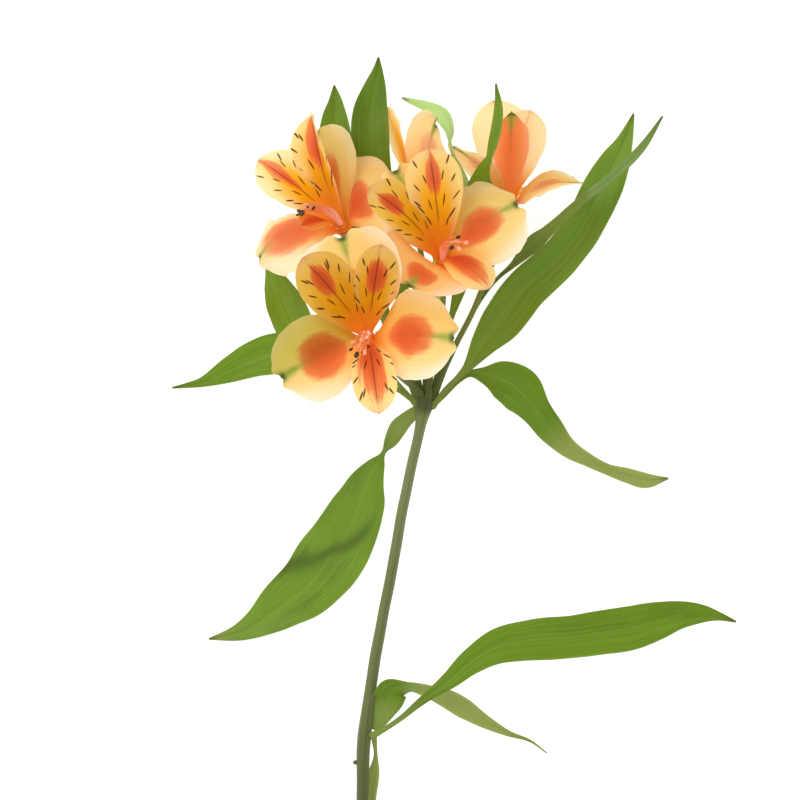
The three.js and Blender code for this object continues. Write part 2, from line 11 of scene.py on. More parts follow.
import bpy
import numpy as np
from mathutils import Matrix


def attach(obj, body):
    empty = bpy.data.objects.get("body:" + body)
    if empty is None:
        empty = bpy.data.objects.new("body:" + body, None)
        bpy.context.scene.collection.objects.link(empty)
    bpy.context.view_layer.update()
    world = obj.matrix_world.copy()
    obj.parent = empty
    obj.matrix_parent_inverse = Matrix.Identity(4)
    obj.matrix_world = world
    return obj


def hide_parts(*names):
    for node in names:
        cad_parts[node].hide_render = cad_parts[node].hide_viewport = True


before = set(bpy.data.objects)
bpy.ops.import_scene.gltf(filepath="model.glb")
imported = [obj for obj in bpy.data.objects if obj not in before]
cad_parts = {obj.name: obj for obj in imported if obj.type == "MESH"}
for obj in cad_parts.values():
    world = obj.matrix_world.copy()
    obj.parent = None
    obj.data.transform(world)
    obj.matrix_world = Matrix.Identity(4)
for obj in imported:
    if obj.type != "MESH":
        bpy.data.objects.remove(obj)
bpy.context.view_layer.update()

# ---- the part's own numbers
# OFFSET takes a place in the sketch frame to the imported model's frame. ROD_SEAM is the side of
# a rod where its angle is 0, and TANGENT_STEP is a share of a curve.
OFFSET = np.array([-19.5182, 31.7893, 0])
MM_PER_METRE = 1000
SHARP_ANGLE = math.radians(50)
ROD_SEAM = np.array([0.3, 0.1, 1])
TANGENT_STEP = 0.01

# Stem centre line from the cut end to the umbel: x, y, z, radius.
STEM = [
    [-12.6, -186, 2.35, 2.35], [-13.2, -160, 5.6, 2.3], [-13.3, -140, 8.6, 2.2],
    [-13.2, -128, 10.6, 2.35], [-12.6, -119, 12.2, 2.45], [-11.2, -108, 14, 2.1],
    [-9.2, -94, 16.2, 2.05], [-6.3, -78, 18.8, 1.95], [-2.8, -60, 21.6, 1.9],
    [0.7, -40, 24.6, 1.85], [4.4, -22, 27.2, 1.8], [7.3, -9, 29.2, 1.95],
    [8.3, -3, 30, 2.9], [8.8, 0.6, 30.5, 2.7],
]

# Leaves, from the stem to the tip: x, y, z, half width and, where there is one, the roll in
# degrees. Keel is how far the margins rise, and wave how far they wave. Pale is painted light,
# how much paler a leaf is painted where light shines through it or catches it; grey is how
# grey it is, shade how much painted shade it lies in, and turn where it turns its dull side
# up. The fold shadow is how dark a painted shadow of a fold lies across its middle.
LEAVES = {
    "upper_1": dict(wave=0.05, shade=0.2, rows=[
        [5.2, 1.9, 27.2, 0.8], [1, 12, 24, 0.9], [-6, 32, 18, 2.2], [-14, 58, 12, 5.2],
        [-20, 78, 9, 6.8], [-23, 92, 7.5, 6.4], [-23.4, 101, 6.5, 4.6], [-23.2, 107, 5.5, 2.6],
        [-23.6, 113, 4.5, 0.3]]),
    "upper_2": dict(keel=0.15, wave=0.06, shade=0.6, rows=[
        [7.3, 2.9, 26.3, 0.8], [5.5, 14, 24.5, 0.9], [1, 36, 22, 2.6], [-5, 60, 20.5, 5.4],
        [-9.5, 80, 20.2, 6.6], [-10.6, 94, 21.5, 6.8], [-10.4, 103, 20.5, 6], [-9, 111, 18, 4.1],
        [-8, 117.5, 15, 1.9], [-7.7, 122.5, 12, 0.3]]),
    "upper_3": dict(pale=1, rows=[
        [9.2, 2.9, 26.2, 0.8], [11, 16, 24.5, 0.9], [13, 36, 23.5, 2.6, 5], [17, 58, 27.5, 3.6, 10],
        [22, 73, 31, 2.8, 10], [20.4, 82, 38, 2.5, 45], [17.8, 89.5, 41, 1.7, 95],
        [17.2, 95.4, 38, 2.8, 135], [14.6, 100.8, 34, 3.3, 150], [9, 104, 30, 2, 160],
        [4, 105.8, 27, 1.1, 163], [0.8, 107, 25, 0.3, 165]]),
    "upper_4": dict(rows=[
        [11.4, 3, 27.4, 0.8], [13.8, 12, 29, 0.8], [17.8, 28, 31.5, 0.9],
        [20.8, 39, 33.5, 2.3, -10], [24.6, 56, 35.5, 4.6, -10], [28.2, 71, 36, 6, 10],
        [30.2, 78.5, 39, 4.8, 40], [31.8, 84, 43.5, 3.6, 74], [33.2, 90.5, 44.5, 3, 58],
        [34.5, 98, 44.5, 2.7, 50], [34.6, 104.5, 43.5, 1.7, 45], [33.6, 111, 42, 0.3, 40]]),
    "right_1": dict(keel=0.22, wave=0.05, pale=0.07, rows=[
        [12.2, -1.5, 31, 0.8], [16.2, 3.8, 31.4, 0.9], [20.3, 7.8, 31.2, 1], [24, 11.8, 30.2, 1.8],
        [29.9, 20.3, 27.5, 4.9], [36.3, 28.2, 24.5, 7.5], [44.4, 39, 21, 7.5], [56.8, 50.6, 17, 7.2],
        [65.2, 61.8, 13.5, 7.1], [72, 75, 10, 7], [76.8, 84.8, 7, 5.6], [80.4, 92.4, 4.5, 3.2],
        [84, 103, 2, 0.3]]),
    "right_2": dict(keel=0.15, wave=0.03, grey=0.5, rows=[
        [12.4, 1.2, 27.8, 0.7], [16.9, 12.6, 25.6, 0.7], [22.8, 25, 25.6, 0.7], [28.8, 36, 27, 0.7],
        [34.8, 43.3, 28, 0.7, 20], [39.4, 47.2, 29, 1.2, 30], [43.8, 51.6, 30, 2.6, 30],
        [47.6, 55.4, 30, 3.3, 25], [52, 59, 30, 3.2, 48], [57, 63.7, 29, 3.4, 62],
        [66.6, 72, 25.5, 3.6, 62], [75, 78.6, 21.5, 3.4, 62], [82.2, 85.2, 17.5, 2.9, 58],
        [87.8, 91.8, 14, 1.8, 45], [94, 101.6, 9.5, 0.3, 30]]),
    "right_3": dict(keel=0.15, wave=0.08, turn=0.5, rows=[
        [11.3, -1.7, 28.7, 1.1], [15.5, 2.1, 28.8, 1.2], [20.2, 6.8, 28.6, 1.2],
        [24.8, 9.3, 28, 1.2], [29.4, 8.9, 26.8, 3], [35.2, 7.6, 24.6, 6.6], [42.2, 3.8, 20.8, 7.9],
        [48.3, -3.6, 15.8, 5.6], [54, -10.8, 10.8, 4.8], [60.2, -17.2, 7, 3.4],
        [67.6, -21.6, 4.4, 2.4], [74.7, -25, 2.6, 2.1], [81.6, -27.1, 1.4, 2.7],
        [88.6, -29, 0.8, 2.7], [96.6, -28.2, 0.4, 0.3]]),
    "left_1": dict(keel=0.12, rows=[
        [4.8, -0.6, 28, 0.8], [-2, 7, 26, 0.9], [-14, 15.6, 21.5, 3.6], [-28, 18.6, 16.5, 6.6],
        [-42.4, 17, 11.5, 7.2], [-51.6, 14.9, 8, 6.6], [-61.6, 10.6, 4.6, 4.5], [-70.6, 6.6, 2, 1.9],
        [-77, 5.2, 1, 0.9], [-82, 4.4, 0.4, 0.3]]),
    "left_2": dict(rows=[
        [5.3, -0.6, 31.2, 0.8], [-2.5, 4.6, 31, 0.9], [-14, 8.6, 29, 2.2], [-26, 14, 25.5, 5],
        [-35.5, 23, 22, 6.8], [-40.4, 33, 19.5, 6.8], [-43.6, 40.6, 17.5, 4.8, 10],
        [-45.8, 46, 16, 2.6, 30], [-47.6, 52.4, 14, 0.4, 30]]),
    "left_3": dict(keel=0.1, wave=0.1, band=1, pale=0.06, turn=0.88, rows=[
        [5.2, -4.4, 29.8, 1.5], [2.2, -6.8, 28.8, 2.5], [-0.6, -9.8, 28, 3.2],
        [-3.4, -14.6, 27, 2.5, 20], [-6, -18.6, 26, 1.5, 65], [-8.4, -22.6, 25, 3.3, 20],
        [-11.6, -29, 22.6, 6.3], [-14.2, -36.4, 19.6, 9], [-20.9, -50.5, 13.6, 11.8],
        [-26, -58, 10.4, 12], [-33.2, -66.8, 7, 10.8], [-41.6, -73, 4.2, 9], [-51.4, -80.2, 2, 5.4],
        [-58.8, -83.8, 1, 2.9], [-68.8, -86, 0.4, 0.3]]),
    "low_1": dict(keel=0.12, wave=0.05, shade=0.15, rows=[
        [-9.2, -119.4, 14.2, 1], [-4.5, -116.6, 17, 0.9], [1, -112.6, 19.5, 1],
        [6.6, -107.8, 21.2, 1.4], [12, -103.6, 21.8, 2], [18, -99.2, 21.6, 3.2],
        [25, -93.2, 20.6, 4.6], [34.8, -87.6, 18.6, 6.3], [46, -85.6, 15.8, 7.3],
        [61, -84.6, 12, 7.6], [71.6, -83.2, 9.4, 8], [82, -81.8, 6.8, 7.9], [92.2, -79.2, 4.6, 6.8],
        [100.4, -77.2, 3, 5], [108.6, -76.8, 1.8, 3.3], [114.8, -77.8, 1, 1.6],
        [121, -79.8, 0.4, 0.3]]),
    "low_2": dict(keel=0.1, turn=0.2, rows=[
        [-8.7, -116.4, 12, 1.4], [-6.6, -112.4, 12.2, 3.6, -10], [-4.4, -107.6, 13.2, 5.3, -5],
        [-2.6, -103.3, 14.8, 6.4, -35], [4, -102.1, 15.6, 3.6, -60], [9.6, -103.5, 15, 3, -40],
        [16.6, -106.4, 12.6, 3.7, -20], [23.2, -110.6, 9, 3.6], [30.6, -115.4, 5.4, 2.4],
        [39, -119.8, 2.6, 1.1], [46.8, -122.6, 1, 0.5], [52.8, -127, 0.4, 0.2]]),
    "low_3": dict(keel=0.1, turn=-0.1, rows=[
        [-9.2, -121.6, 11.2, 0.7], [-8.7, -127, 8.8, 0.7], [-9.4, -134, 6, 2],
        [-11.1, -146, 3.6, 2.2], [-11.9, -158, 1.8, 2.4], [-11.8, -168, 0.8, 2],
        [-11.4, -178, 0.4, 0.3]]),
}

# Blooms, as in the part's source. Of a tepal's markings, blotch is where its blotch begins and
# ends along it and its half width as a share of the tepal's, warm is how orange it is, blush
# how pink, pale how creamy, milky how creamy its margins are and dusk how much painted shade
# it lies in. A plain one has no midrib or dashes. A blotch past the tip doesn't show. Ripe are
# the stamens with dark anthers. How white the filaments' feet are is partly their own pale
# colour, and partly painted light where light shows through the bloom's centre.
NO_BLOTCH = (2, 2.2, 0.1)
FEET_PALE_AND_LIT = 0.3
BLOOMS = {
    "front": dict(
        seat=[-11, 21.5, 64], facing=[-0.02, 0.2, 0.98], dorsal=[-0.225, 0.974, 0],
        droop=(150, 8.5), ripe=(1, 2, 4), blanched=1,
        pedicel=[[7.2, 0.86, 32.4], [7.3, 2.2, 32.7], [1, 7.5, 40], [-6, 14.5, 48]],
        outer=[
            dict(clock=2, reach=36.4, flare=28, roll=10, cup=0.26, fold=0.12, wide=1.2,
                 blotch=(0.3, 0.7, 0.2)),
            dict(clock=106.5, reach=36.5, flare=27, roll=27, cup=0.18, blotch=(0.25, 0.82, 0.62),
                 milky=0.15, dusk=0.9),
            dict(clock=-113, reach=36.5, flare=-6, roll=-20, cup=0.28, wide=1.05,
                 blotch=(0.24, 0.82, 0.52))],
        inner=[
            dict(clock=31.5, reach=41.3, flare=12, roll=-9, cup=0.06, wide=1.16,
                 blotch=(0.58, 0.92, 0.36), dusk=0.7),
            dict(clock=-23.5, reach=36.5, flare=14, roll=-10, cup=0.1, wide=0.86, dusk=0.5,
                 blotch=(0.52, 0.88, 0.46)),
            dict(clock=175, reach=42, flare=16, wide=0.88, blotch=(-0.1, 0.92, 0.72), pale=0.5)]),
    "left": dict(
        seat=[-19.7, 60.4, 31], facing=[-0.43, 0.68, 0.59], dorsal=[-0.53, 0.85, 0],
        droop=(139, 12.5), ripe=(0, 1, 2, 3, 4),
        pedicel=[[6.6, 1.27, 30], [6.8, 3, 30.2], [-1, 18, 25.5], [-10, 38, 22]],
        outer=[
            dict(clock=-17, reach=36.5, wide=0.95, blotch=(0.1, 0.78, 0.5), pale=0.2, dusk=0.4),
            dict(clock=90, reach=33, flare=40, roll=-5, cup=-0.22, wide=1.38,
                 blotch=(0.15, 0.94, 0.58), blush=0.2, pale=0.5, milky=0.9),
            dict(clock=-97, reach=23, flare=43, roll=-25, cup=-0.19, wide=1.35,
                 blotch=(0.1, 0.68, 0.58))],
        inner=[
            dict(clock=34.5, reach=37.5, flare=-17, roll=-4, cup=0, wide=1.18,
                 blotch=(0.5, 1.1, 0.27), milky=1),
            dict(clock=-23, reach=42, flare=4, wide=0.85, fold=0.6, roll=35, blotch=(0.45, 1.1, 0.4),
                 milky=0.5),
            dict(clock=134, reach=24, flare=-2, roll=60, cup=0, wide=0.5, warm=1, plain=1,
                 blotch=(0.1, 1.1, 0.5))]),
    "right": dict(
        seat=[15, 48, 44.5], facing=[-0.025, 0.555, 0.83], dorsal=[-0.537, 0.7, -0.468],
        droop=(-175, 9.5), ripe=(1, 5),
        pedicel=[[9.7, 0.51, 32.4], [9.95, 2.3, 32.65], [12, 18, 32.5], [15, 33, 32.5]],
        outer=[
            dict(clock=0.5, reach=35, blotch=(0.3, 0.7, 0.2)),
            dict(clock=117, reach=25, flare=7, roll=18, cup=0.26, fold=0.14, wide=1.16,
                 blotch=(0.5, 0.94, 0.36), warm=0.25),
            dict(clock=-96, reach=32.5, flare=11, roll=10, cup=-0.07, wide=1.28,
                 blotch=(0.2, 0.84, 0.42), dusk=0.2)],
        inner=[
            dict(clock=31, reach=39, flare=5, wide=1, blotch=(0.6, 0.9, 0.42), dusk=0.4),
            dict(clock=-24, reach=40, wide=1.15, blotch=(0.6, 0.98, 0.3), milky=0.4),
            dict(clock=-174, reach=31, flare=42, roll=18, cup=-0.15, wide=0.88,
                 blotch=(0.05, 0.95, 0.7), warm=0.3, milky=0.5, plain=1)]),
    "back_middle": dict(
        seat=[6.5, 71, 33], facing=[0.08, 0.9, -0.42], dorsal=[0, 0.42, 0.9],
        droop=(180, 2), ripe=(0, 3),
        pedicel=[[8.9, 1.04, 29.4], [9.1, 2.8, 29.5], [8.6, 22, 29], [8.2, 46, 30.5]],
        outer=[
            dict(clock=10, reach=32, flare=17, roll=66, cup=-0.05, wide=0.68, pale=0.8),
            dict(clock=153, reach=28, flare=-16, wide=0.5, warm=0.3),
            dict(clock=-149, reach=34, flare=-5, wide=0.42)],
        inner=[
            dict(clock=24, reach=20, flare=-38, wide=0.45, warm=0.6, plain=1, blotch=NO_BLOTCH),
            dict(clock=-88, reach=35.5, flare=-46, roll=-12, cup=-0.1, wide=1, warm=0.4, milky=1,
                 plain=1, blotch=NO_BLOTCH),
            dict(clock=170, reach=30, flare=-20, wide=0.75, plain=1)]),
    "back_right": dict(
        seat=[39, 69.4, 33], facing=[-0.07, 0.71, -0.7], dorsal=[0, 0.7, 0.71],
        droop=(180, 2), ripe=(0, 3),
        pedicel=[[11.2, 0.61, 30.2], [11.5, 2.4, 30.4], [17, 14.5, 31], [25.6, 31, 31],
                    [33, 49, 32]],
        outer=[
            dict(clock=4, reach=30.5, flare=-10, roll=-6, cup=0.1, wide=0.46, lobe=-0.1, warm=0.85),
            dict(clock=96, reach=27.6, flare=20, roll=-46, cup=-0.02, wide=0.9),
            dict(clock=-50, reach=27.5, flare=14, roll=48, cup=-0.08, wide=0.56, pale=1)],
        inner=[
            dict(clock=-10, reach=36.5, flare=-24, roll=8, cup=0.3, fold=0.15, wide=1.2, pale=1,
                 plain=1, blotch=NO_BLOTCH),
            dict(clock=24.8, reach=33, flare=-10, roll=-18, cup=0, wide=1.2, pale=1, plain=1,
                 blotch=NO_BLOTCH),
            dict(clock=180, reach=30, flare=-15)]),
}

# Tepals. The claw and the limb are half widths, the claw share is where the claw starts to
# open, the point is the small tip between the lobes, and closing is how the width falls to the
# tip. The rest is as in the part's source.
OUTER = SimpleNamespace(
    claw=2.3, limb=14.8, widest=0.64, rise=27, spread=80, seat_radius=2.3, seat_height=0.5,
    lobe=0.055, point=0.02, claw_share=0.05, opening=0.65, blotch=(0.3, 0.8, 0.42),
    closing=lambda past: np.sqrt(1 - 0.8 * past ** 2.4))
INNER = SimpleNamespace(
    claw=1.6, limb=8.6, widest=0.7, rise=17, spread=70, seat_radius=1.4, seat_height=1.6,
    lobe=0, point=0, claw_share=0.03, opening=0.73, blotch=(0.6, 0.94, 0.34),
    closing=lambda past: (1 - past ** 2.6) ** 0.65)
TEPAL_CUP = 0.16
TEPAL_THICKNESS, CLAW_THICKENING = 0.34, 1.6
TEPAL_STEPS, TEPAL_ACROSS, TEPAL_CROWDING = 52, 34, 1.12
TEPAL_LEAST_WIDTH, TEPAL_POINT_WIDTH = 0.2, 0.1
LEAF_THICKNESS, PETIOLE_THICKNESS, PETIOLE_SHARE = 0.42, 1.05, 0.16
LEAF_STEPS, LEAF_ACROSS, LEAF_WAVES, LEAF_TURN_SHARE = 120, 16, 3, 0.16
LEAF_LEAST_WIDTH, LEAF_LEAST_WIDENING = 0.16, 0.14
LEAF_KEEL, LEAF_WAVE = 0.2, 0.04
MARGIN_THINNING = 0.55
# A leaf's base widens and reaches into the stem, over this length.
BASE_FLARE, BASE_REACH, BASE_LENGTH = 0.35, 1.6, 3.2

# Low relief. A waver and a frill are shares of the half width, and the rest is in millimetres.
# After each stands how often it goes up and down, or how wide it is. BLADE and LIMB are the
# shares between which pleats and frill set in.
BLADE, LIMB = (0.1, 0.4), (0.15, 0.6)
LEAF_WAVER, LEAF_WAVERS = 0.02, 5
LEAF_FRILL, LEAF_FRILLS = 0.035, 6
LEAF_PLEAT, LEAF_PLEATS, LEAF_PLEAT_SWAY = 0.07, 7, 1.5
LEAF_GROOVE, LEAF_GROOVE_WIDTH = 0.22, 0.5
LEAF_RIB, LEAF_RIB_WIDTH = 0.25, 0.6
TEPAL_WAVER, TEPAL_WAVERS = 0.015, 4
TEPAL_FRILL, TEPAL_FRILLS = 0.045, 3.5
TEPAL_PLEAT, TEPAL_PLEATS = 0.13, 9
TEPAL_LIP, TEPAL_LIPS = 0.5, 2
TEPAL_GROOVE, TEPAL_GROOVE_WIDTH = 0.3, 0.8
# A ripple adds up this many waves, which together reach about this height.
RIPPLE_TERMS, RIPPLE_HEIGHT = 4, 1.8

# The stem's low ridges: height as a share of the radius, how many go round, and how far they
# twist from end to end in radians. The cut end is a little narrower.
STEM_STEPS, STEM_SIDES = 300, 40
STEM_RIDGES = [(0.022, 7, 9), (0.012, 3, -30), (0.02, 1, 22 * math.pi)]
CUT_NARROWING, CUT_SHARE = 0.12, 0.0015
# The height of the whorl's crown, and how much, where and over what share of the stem the whorl
# swells. The stub is what a lost leaf left: centre, radii and the share whose colour it has.
WHORL_CROWN = 1.5
WHORL_SWELL, WHORL_MIDDLE, WHORL_SPREAD = 0.13, 0.988, 0.014
STUB, STUB_SHARE = np.array([-15.7, -129.6, 10.4, 1.25, 0.85, 0.8]), 0.98

OUTER_DISC_RADIUS, INNER_DISC_RADIUS, STAMEN_DISC_RADIUS = 2.5, 1.9, 0.9
DISC_HEIGHT, DISC_GAP, DISC_OVERLAP = 0.8, 0.3, 0.6
PEDICEL_STEPS, PEDICEL_SIDES, PEDICEL_RADIUS, PEDICEL_RIDGE = 90, 36, 1, 0.02
PEDICEL_FOOT, PEDICEL_FOOT_LENGTH = 0.6, 3.5
OVARY_LENGTH, OVARY_RADIUS, OVARY_RIB = 8, 2.5, 0.13
OVARY_NECK_LENGTH, OVARY_NECK_RADIUS = 3, 1.3
STAMEN_LENGTHS = [20.5, 21.8, 23, 24.3, 20.5, 21.8]
STYLE_LENGTH = 23
FILAMENT_STEPS, FILAMENT_SIDES = 22, 10
FILAMENT_RADIUS, FILAMENT_TIP_RADIUS, STYLE_TIP_RADIUS = 0.5, 0.3, 0.4
FILAMENT_START, FILAMENT_SPREAD, FILAMENT_FORESHORTENING = 0.2, 2.4, 0.12
FILAMENT_SHARES = (0, 0.3, 0.6, 0.85, 1)
ANTHER_RADII, ANTHER_SIZES = (0.7, 0.85, 1.5), [1, 0.62, 0.85]
ANTHER_SPLAY, ANTHER_NOD = (0.4, 1), (-0.5, 0.8)
STIGMA_RADII, STIGMA_OUT, STIGMA_UP = (0.28, 0.3, 0.8), 0.45, 0.4
# What the stamens' field named part says. The style is pale, and so are unripe anthers.
FILAMENT, RIPE, PALE = 0, 1, 2

# Strokes on one side of an inner tepal of 40 mm: how far along, how far aside, lean in degrees.
STROKES = [(14, 3, 24), (18, 5.3, 38), (21.5, 2.6, 14), (22.5, 7, 44), (27.5, 6.4, 36),
           (31, 3.6, 16), (34, 5.4, 26)]
STROKED_LENGTH, STROKE_LENGTHS, STROKE_BREADTHS = 40, (1.5, 2.5), (0.24, 0.34)
LEAF_VEINS, TEPAL_VEINS = 17, 15
# A tepal's glow is painted light, an emission that stands in for light shining through it.
TEPAL_FINISH = dict(roughness=0.5, translucent=0.58, sheen=0.03, specular=0.25, glow=0.12)

# Seeds, and how far apart two neighbouring seeds lie in a material's noise.
STROKE_SEED, LEAF_SEED, BLOOM_SEED, BLOOM_SEED_STEP = 5, 11, 101, 10
LEAF_NOISE_STEP, TEPAL_NOISE_STEP = 7.3, 3.7

# The stage: the camera's height, lens and sensor in millimetres, its clipping and the floor's
# size in metres, the floor's grey and glow, and the lights' strengths and the sun's softness
# and tilt in degrees.
CAMERA_HEIGHT, CAMERA_LENS, CAMERA_SENSOR = 1645, 205.7, 36
CLIP_START, CLIP_END = 0.05, 20
FLOOR_SIZE, FLOOR_GREY, FLOOR_GLOW = 6, 0.6, 0.75
SKY_STRENGTH, SUN_STRENGTH, SUN_SOFTNESS, SUN_TILT = 0.7, 1.1, 40, (-28, -32)
WHITE = (1, 1, 1, 1)


# ---- geometry helpers
def unit(vector):
    return vector / np.linalg.norm(vector, axis=-1, keepdims=True)


def smooth(value, low, high):
    t = np.clip((value - low) / (high - low), 0, 1)
    return t * t * (3 - 2 * t)


def mix(a, b, share):
    return a + (b - a) * share


def bell(distance, width):
    """1 in the middle, falling off to both sides within the width."""
    return np.exp(-(distance / width) ** 2)


def curve_through(rows):
    """A smooth curve through rows whose first three numbers are x, y and z."""
    rows = np.array(rows, float)
    knots = np.concatenate([[0], np.cumsum(np.linalg.norm(np.diff(rows[:, :3], axis=0), axis=1))])
    last = len(rows) - 1
    after = np.minimum(np.arange(last + 1) + 1, last)
    before = np.maximum(np.arange(last + 1) - 1, 0)
    slopes = (rows[after] - rows[before]) / (knots[after] - knots[before])[:, None]

    def curve(share):
        distance = np.atleast_1d(share) * knots[-1]
        i = np.minimum(np.searchsorted(knots[1:], distance), last - 1)
        span = (knots[i + 1] - knots[i])[:, None]
        f = (distance - knots[i])[:, None] / span
        return (rows[i] * (2 * f ** 3 - 3 * f ** 2 + 1) + rows[i + 1] * (3 * f ** 2 - 2 * f ** 3)
                + slopes[i] * span * (f ** 3 - 2 * f ** 2 + f)
                + slopes[i + 1] * span * (f ** 3 - f ** 2))
    curve.length = knots[-1]
    return curve


def tangents(curve, share):
    after, before = np.minimum(share + TANGENT_STEP, 1), np.maximum(share - TANGENT_STEP, 0)
    return unit(curve(after)[:, :3] - curve(before)[:, :3])


def ripple(rng, share, waves):
    """A gentle, uneven wave along a line, between about -1 and 1."""
    total = np.zeros_like(share)
    for k in range(RIPPLE_TERMS):
        pace = waves * (0.6 + 0.5 * k) * rng.uniform(0.85, 1.15)
        total += np.sin(2 * np.pi * (pace * share + rng.uniform())) / (1 + 0.6 * k)
    return total / RIPPLE_HEIGHT


def frilled(rng, share, v, waves):
    """Ripples along both margins, which fade toward the middle where v is 0."""
    return (np.maximum(v, 0) ** 3 * ripple(rng, share, waves)
            + np.maximum(-v, 0) ** 3 * ripple(rng, share, waves))


class Shape:
    """Points, faces and numbers for each point, gathered from several parts of a piece."""

    def __init__(self):
        self.points, self.faces, self.fields, self.count = [], [], {}, 0

    def add(self, points, faces, **fields):
        points = np.asarray(points, float)
        self.points.append(points)
        self.faces += [[corner + self.count for corner in face] for face in faces]
        for name, values in fields.items():
            row = self.fields.setdefault(name, [])
            row.append((self.count, np.broadcast_to(values, (len(points),)).astype(float)))
        self.count += len(points)

    def piece(self, name, node, material, slot):
        mesh = bpy.data.meshes.new(name)
        points = (np.concatenate(self.points) + OFFSET) / MM_PER_METRE
        mesh.from_pydata(points.tolist(), [], self.faces)
        for field, rows in self.fields.items():
            values = np.zeros(self.count, np.float32)
            for start, part in rows:
                values[start:start + len(part)] = part
            mesh.attributes.new(field, "FLOAT", "POINT").data.foreach_set("value", values)
        mesh.shade_smooth()
        mesh.set_sharp_from_angle(angle=SHARP_ANGLE)
        mesh.materials.append(material)
        piece = bpy.data.objects.new(name, mesh)
        bpy.context.scene.collection.objects.link(piece)
        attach(piece, "root")
        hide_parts(node)


def add_sheet(shape, middle, normal, thickness, **fields):
    """A thin sheet about a grid of middle points, closed all round and kept above the floor."""
    top = middle + normal * thickness[..., None] / 2
    bottom = middle - normal * thickness[..., None] / 2
    lift = np.maximum(0, -np.minimum(top[..., 2], bottom[..., 2]))
    top[..., 2] += lift
    bottom[..., 2] += lift
    rows, columns = middle.shape[:2]
    under = rows * columns
    faces = []
    for i in range(rows - 1):
        for j in range(columns - 1):
            a, b = i * columns + j, (i + 1) * columns + j
            faces.append([a, a + 1, b + 1, b])
            faces.append([under + a, under + b, under + b + 1, under + a + 1])
        a, b = i * columns, (i + 1) * columns
        faces.append([a, b, under + b, under + a])
        a, b = a + columns - 1, b + columns - 1
        faces.append([b, a, under + a, under + b])
    for j in range(columns - 1):
        end = (rows - 1) * columns + j
        faces.append([j + 1, j, under + j, under + j + 1])
        faces.append([end, end + 1, under + end + 1, under + end])
    points = np.concatenate([top.reshape(-1, 3), bottom.reshape(-1, 3)])
    both = {name: np.tile(np.broadcast_to(values, (rows, columns)).reshape(-1), 2)
            for name, values in fields.items()}
    shape.add(points, faces, back=np.repeat([0, 1], under), **both)


def ring_faces(rings, sides):
    """The faces between rings of points, and a fan at each end to the two points after them."""
    faces = [[i * sides + j, i * sides + (j + 1) % sides, (i + 1) * sides + (j + 1) % sides,
              (i + 1) * sides + j] for i in range(rings - 1) for j in range(sides)]
    low, high, last = rings * sides, rings * sides + 1, (rings - 1) * sides
    faces += [[low, (j + 1) % sides, j] for j in range(sides)]
    return faces + [[high, last + j, last + (j + 1) % sides] for j in range(sides)]


def add_rod(shape, curve, steps, sides, profile=None, **fields):
    """A round rod along a curve of x, y, z and radius, closed at both ends. The profile scales
    the radius by the share along the rod and the angle round it."""
    share = np.linspace(0, 1, steps + 1)
    rows = curve(share)
    tangent = tangents(curve, share)
    angle = np.arange(sides) * 2 * np.pi / sides
    across = ROD_SEAM
    points = []
    for k in range(steps + 1):
        across = unit(across - tangent[k] * across.dot(tangent[k]))
        along = np.cross(tangent[k], across)
        radius = rows[k, 3] * (profile(share[k], angle) if profile else np.ones(sides))
        points.append(rows[k, :3] + radius[:, None] * (np.cos(angle)[:, None] * across
                                                       + np.sin(angle)[:, None] * along))
    points = np.concatenate([*points, [points[0].mean(axis=0)], [points[-1].mean(axis=0)]])
    around = np.concatenate([np.tile(angle, steps + 1), [0, 0]])
    along = np.concatenate([np.repeat(share, sides), [0, 1]])
    shape.add(points, ring_faces(steps + 1, sides), share=along, around=around, **fields)


def add_ball(shape, centre, axes, profile=None, rings=16, sides=16, **fields):
    """An ellipsoid on three axes, whose girth the profile scales by the angle."""
    height = np.sin(np.linspace(-1, 1, rings + 1)[1:-1] * np.pi / 2)
    angle = np.arange(sides) * 2 * np.pi / sides
    girth = np.sqrt(1 - height ** 2)[:, None] * (profile(angle[None]) if profile else 1)
    girth = np.broadcast_to(girth, (rings - 1, sides))
    grid = (centre + girth[..., None] * (np.cos(angle)[None, :, None] * axes[0]
                                         + np.sin(angle)[None, :, None] * axes[1])
            + height[:, None, None] * axes[2])
    points = np.concatenate([grid.reshape(-1, 3), [centre - axes[2]], [centre + axes[2]]])
    shape.add(points, ring_faces(rings - 1, sides), **fields)


# ---- node materials
# Where a Mix node has its two colours and its mixed colour.
MIX_UNDER, MIX_OVER, MIX_RESULT = 6, 7, 2


def add_node(tree, kind, inputs, output=0, **settings):
    """Adds a node, sets or links its inputs, and returns the wire from its output."""
    node = tree.nodes.new(kind)
    for name, value in settings.items():
        setattr(node, name, value)
    for name, value in inputs.items():
        if isinstance(value, Wire):
            tree.links.new(value.socket, node.inputs[name])
        else:
            node.inputs[name].default_value = value
    return Wire(tree, node.outputs[output])


class Wire:
    """A socket of a node tree that adds and multiplies like a number."""

    def __init__(self, tree, socket):
        self.tree, self.socket = tree, socket

    def math(self, operation, *others):
        inputs = dict(enumerate((self, *others)))
        return add_node(self.tree, "ShaderNodeMath", inputs, operation=operation)

    def __add__(self, other):
        return self.math("ADD", other)

    def __sub__(self, other):
        return self.math("SUBTRACT", other)

    def __mul__(self, other):
        return self.math("MULTIPLY", other)

    def __truediv__(self, other):
        return self.math("DIVIDE", other)

    def __abs__(self):
        return self.math("ABSOLUTE")

    def above(self, low, high):
        """0 below low and 1 over high, with a smooth passage between."""
        inputs = {"Value": self, "From Min": low, "From Max": high}
        return add_node(self.tree, "ShaderNodeMapRange", inputs, interpolation_type="SMOOTHSTEP")

    def below(self, low, high):
        return self.above(low, high) * -1 + 1

    def bell(self, width):
        """1 where the number is 0, falling off to both sides within the width."""
        scaled = self * (1 / width)
        return (scaled * scaled * -1).math("EXPONENT")


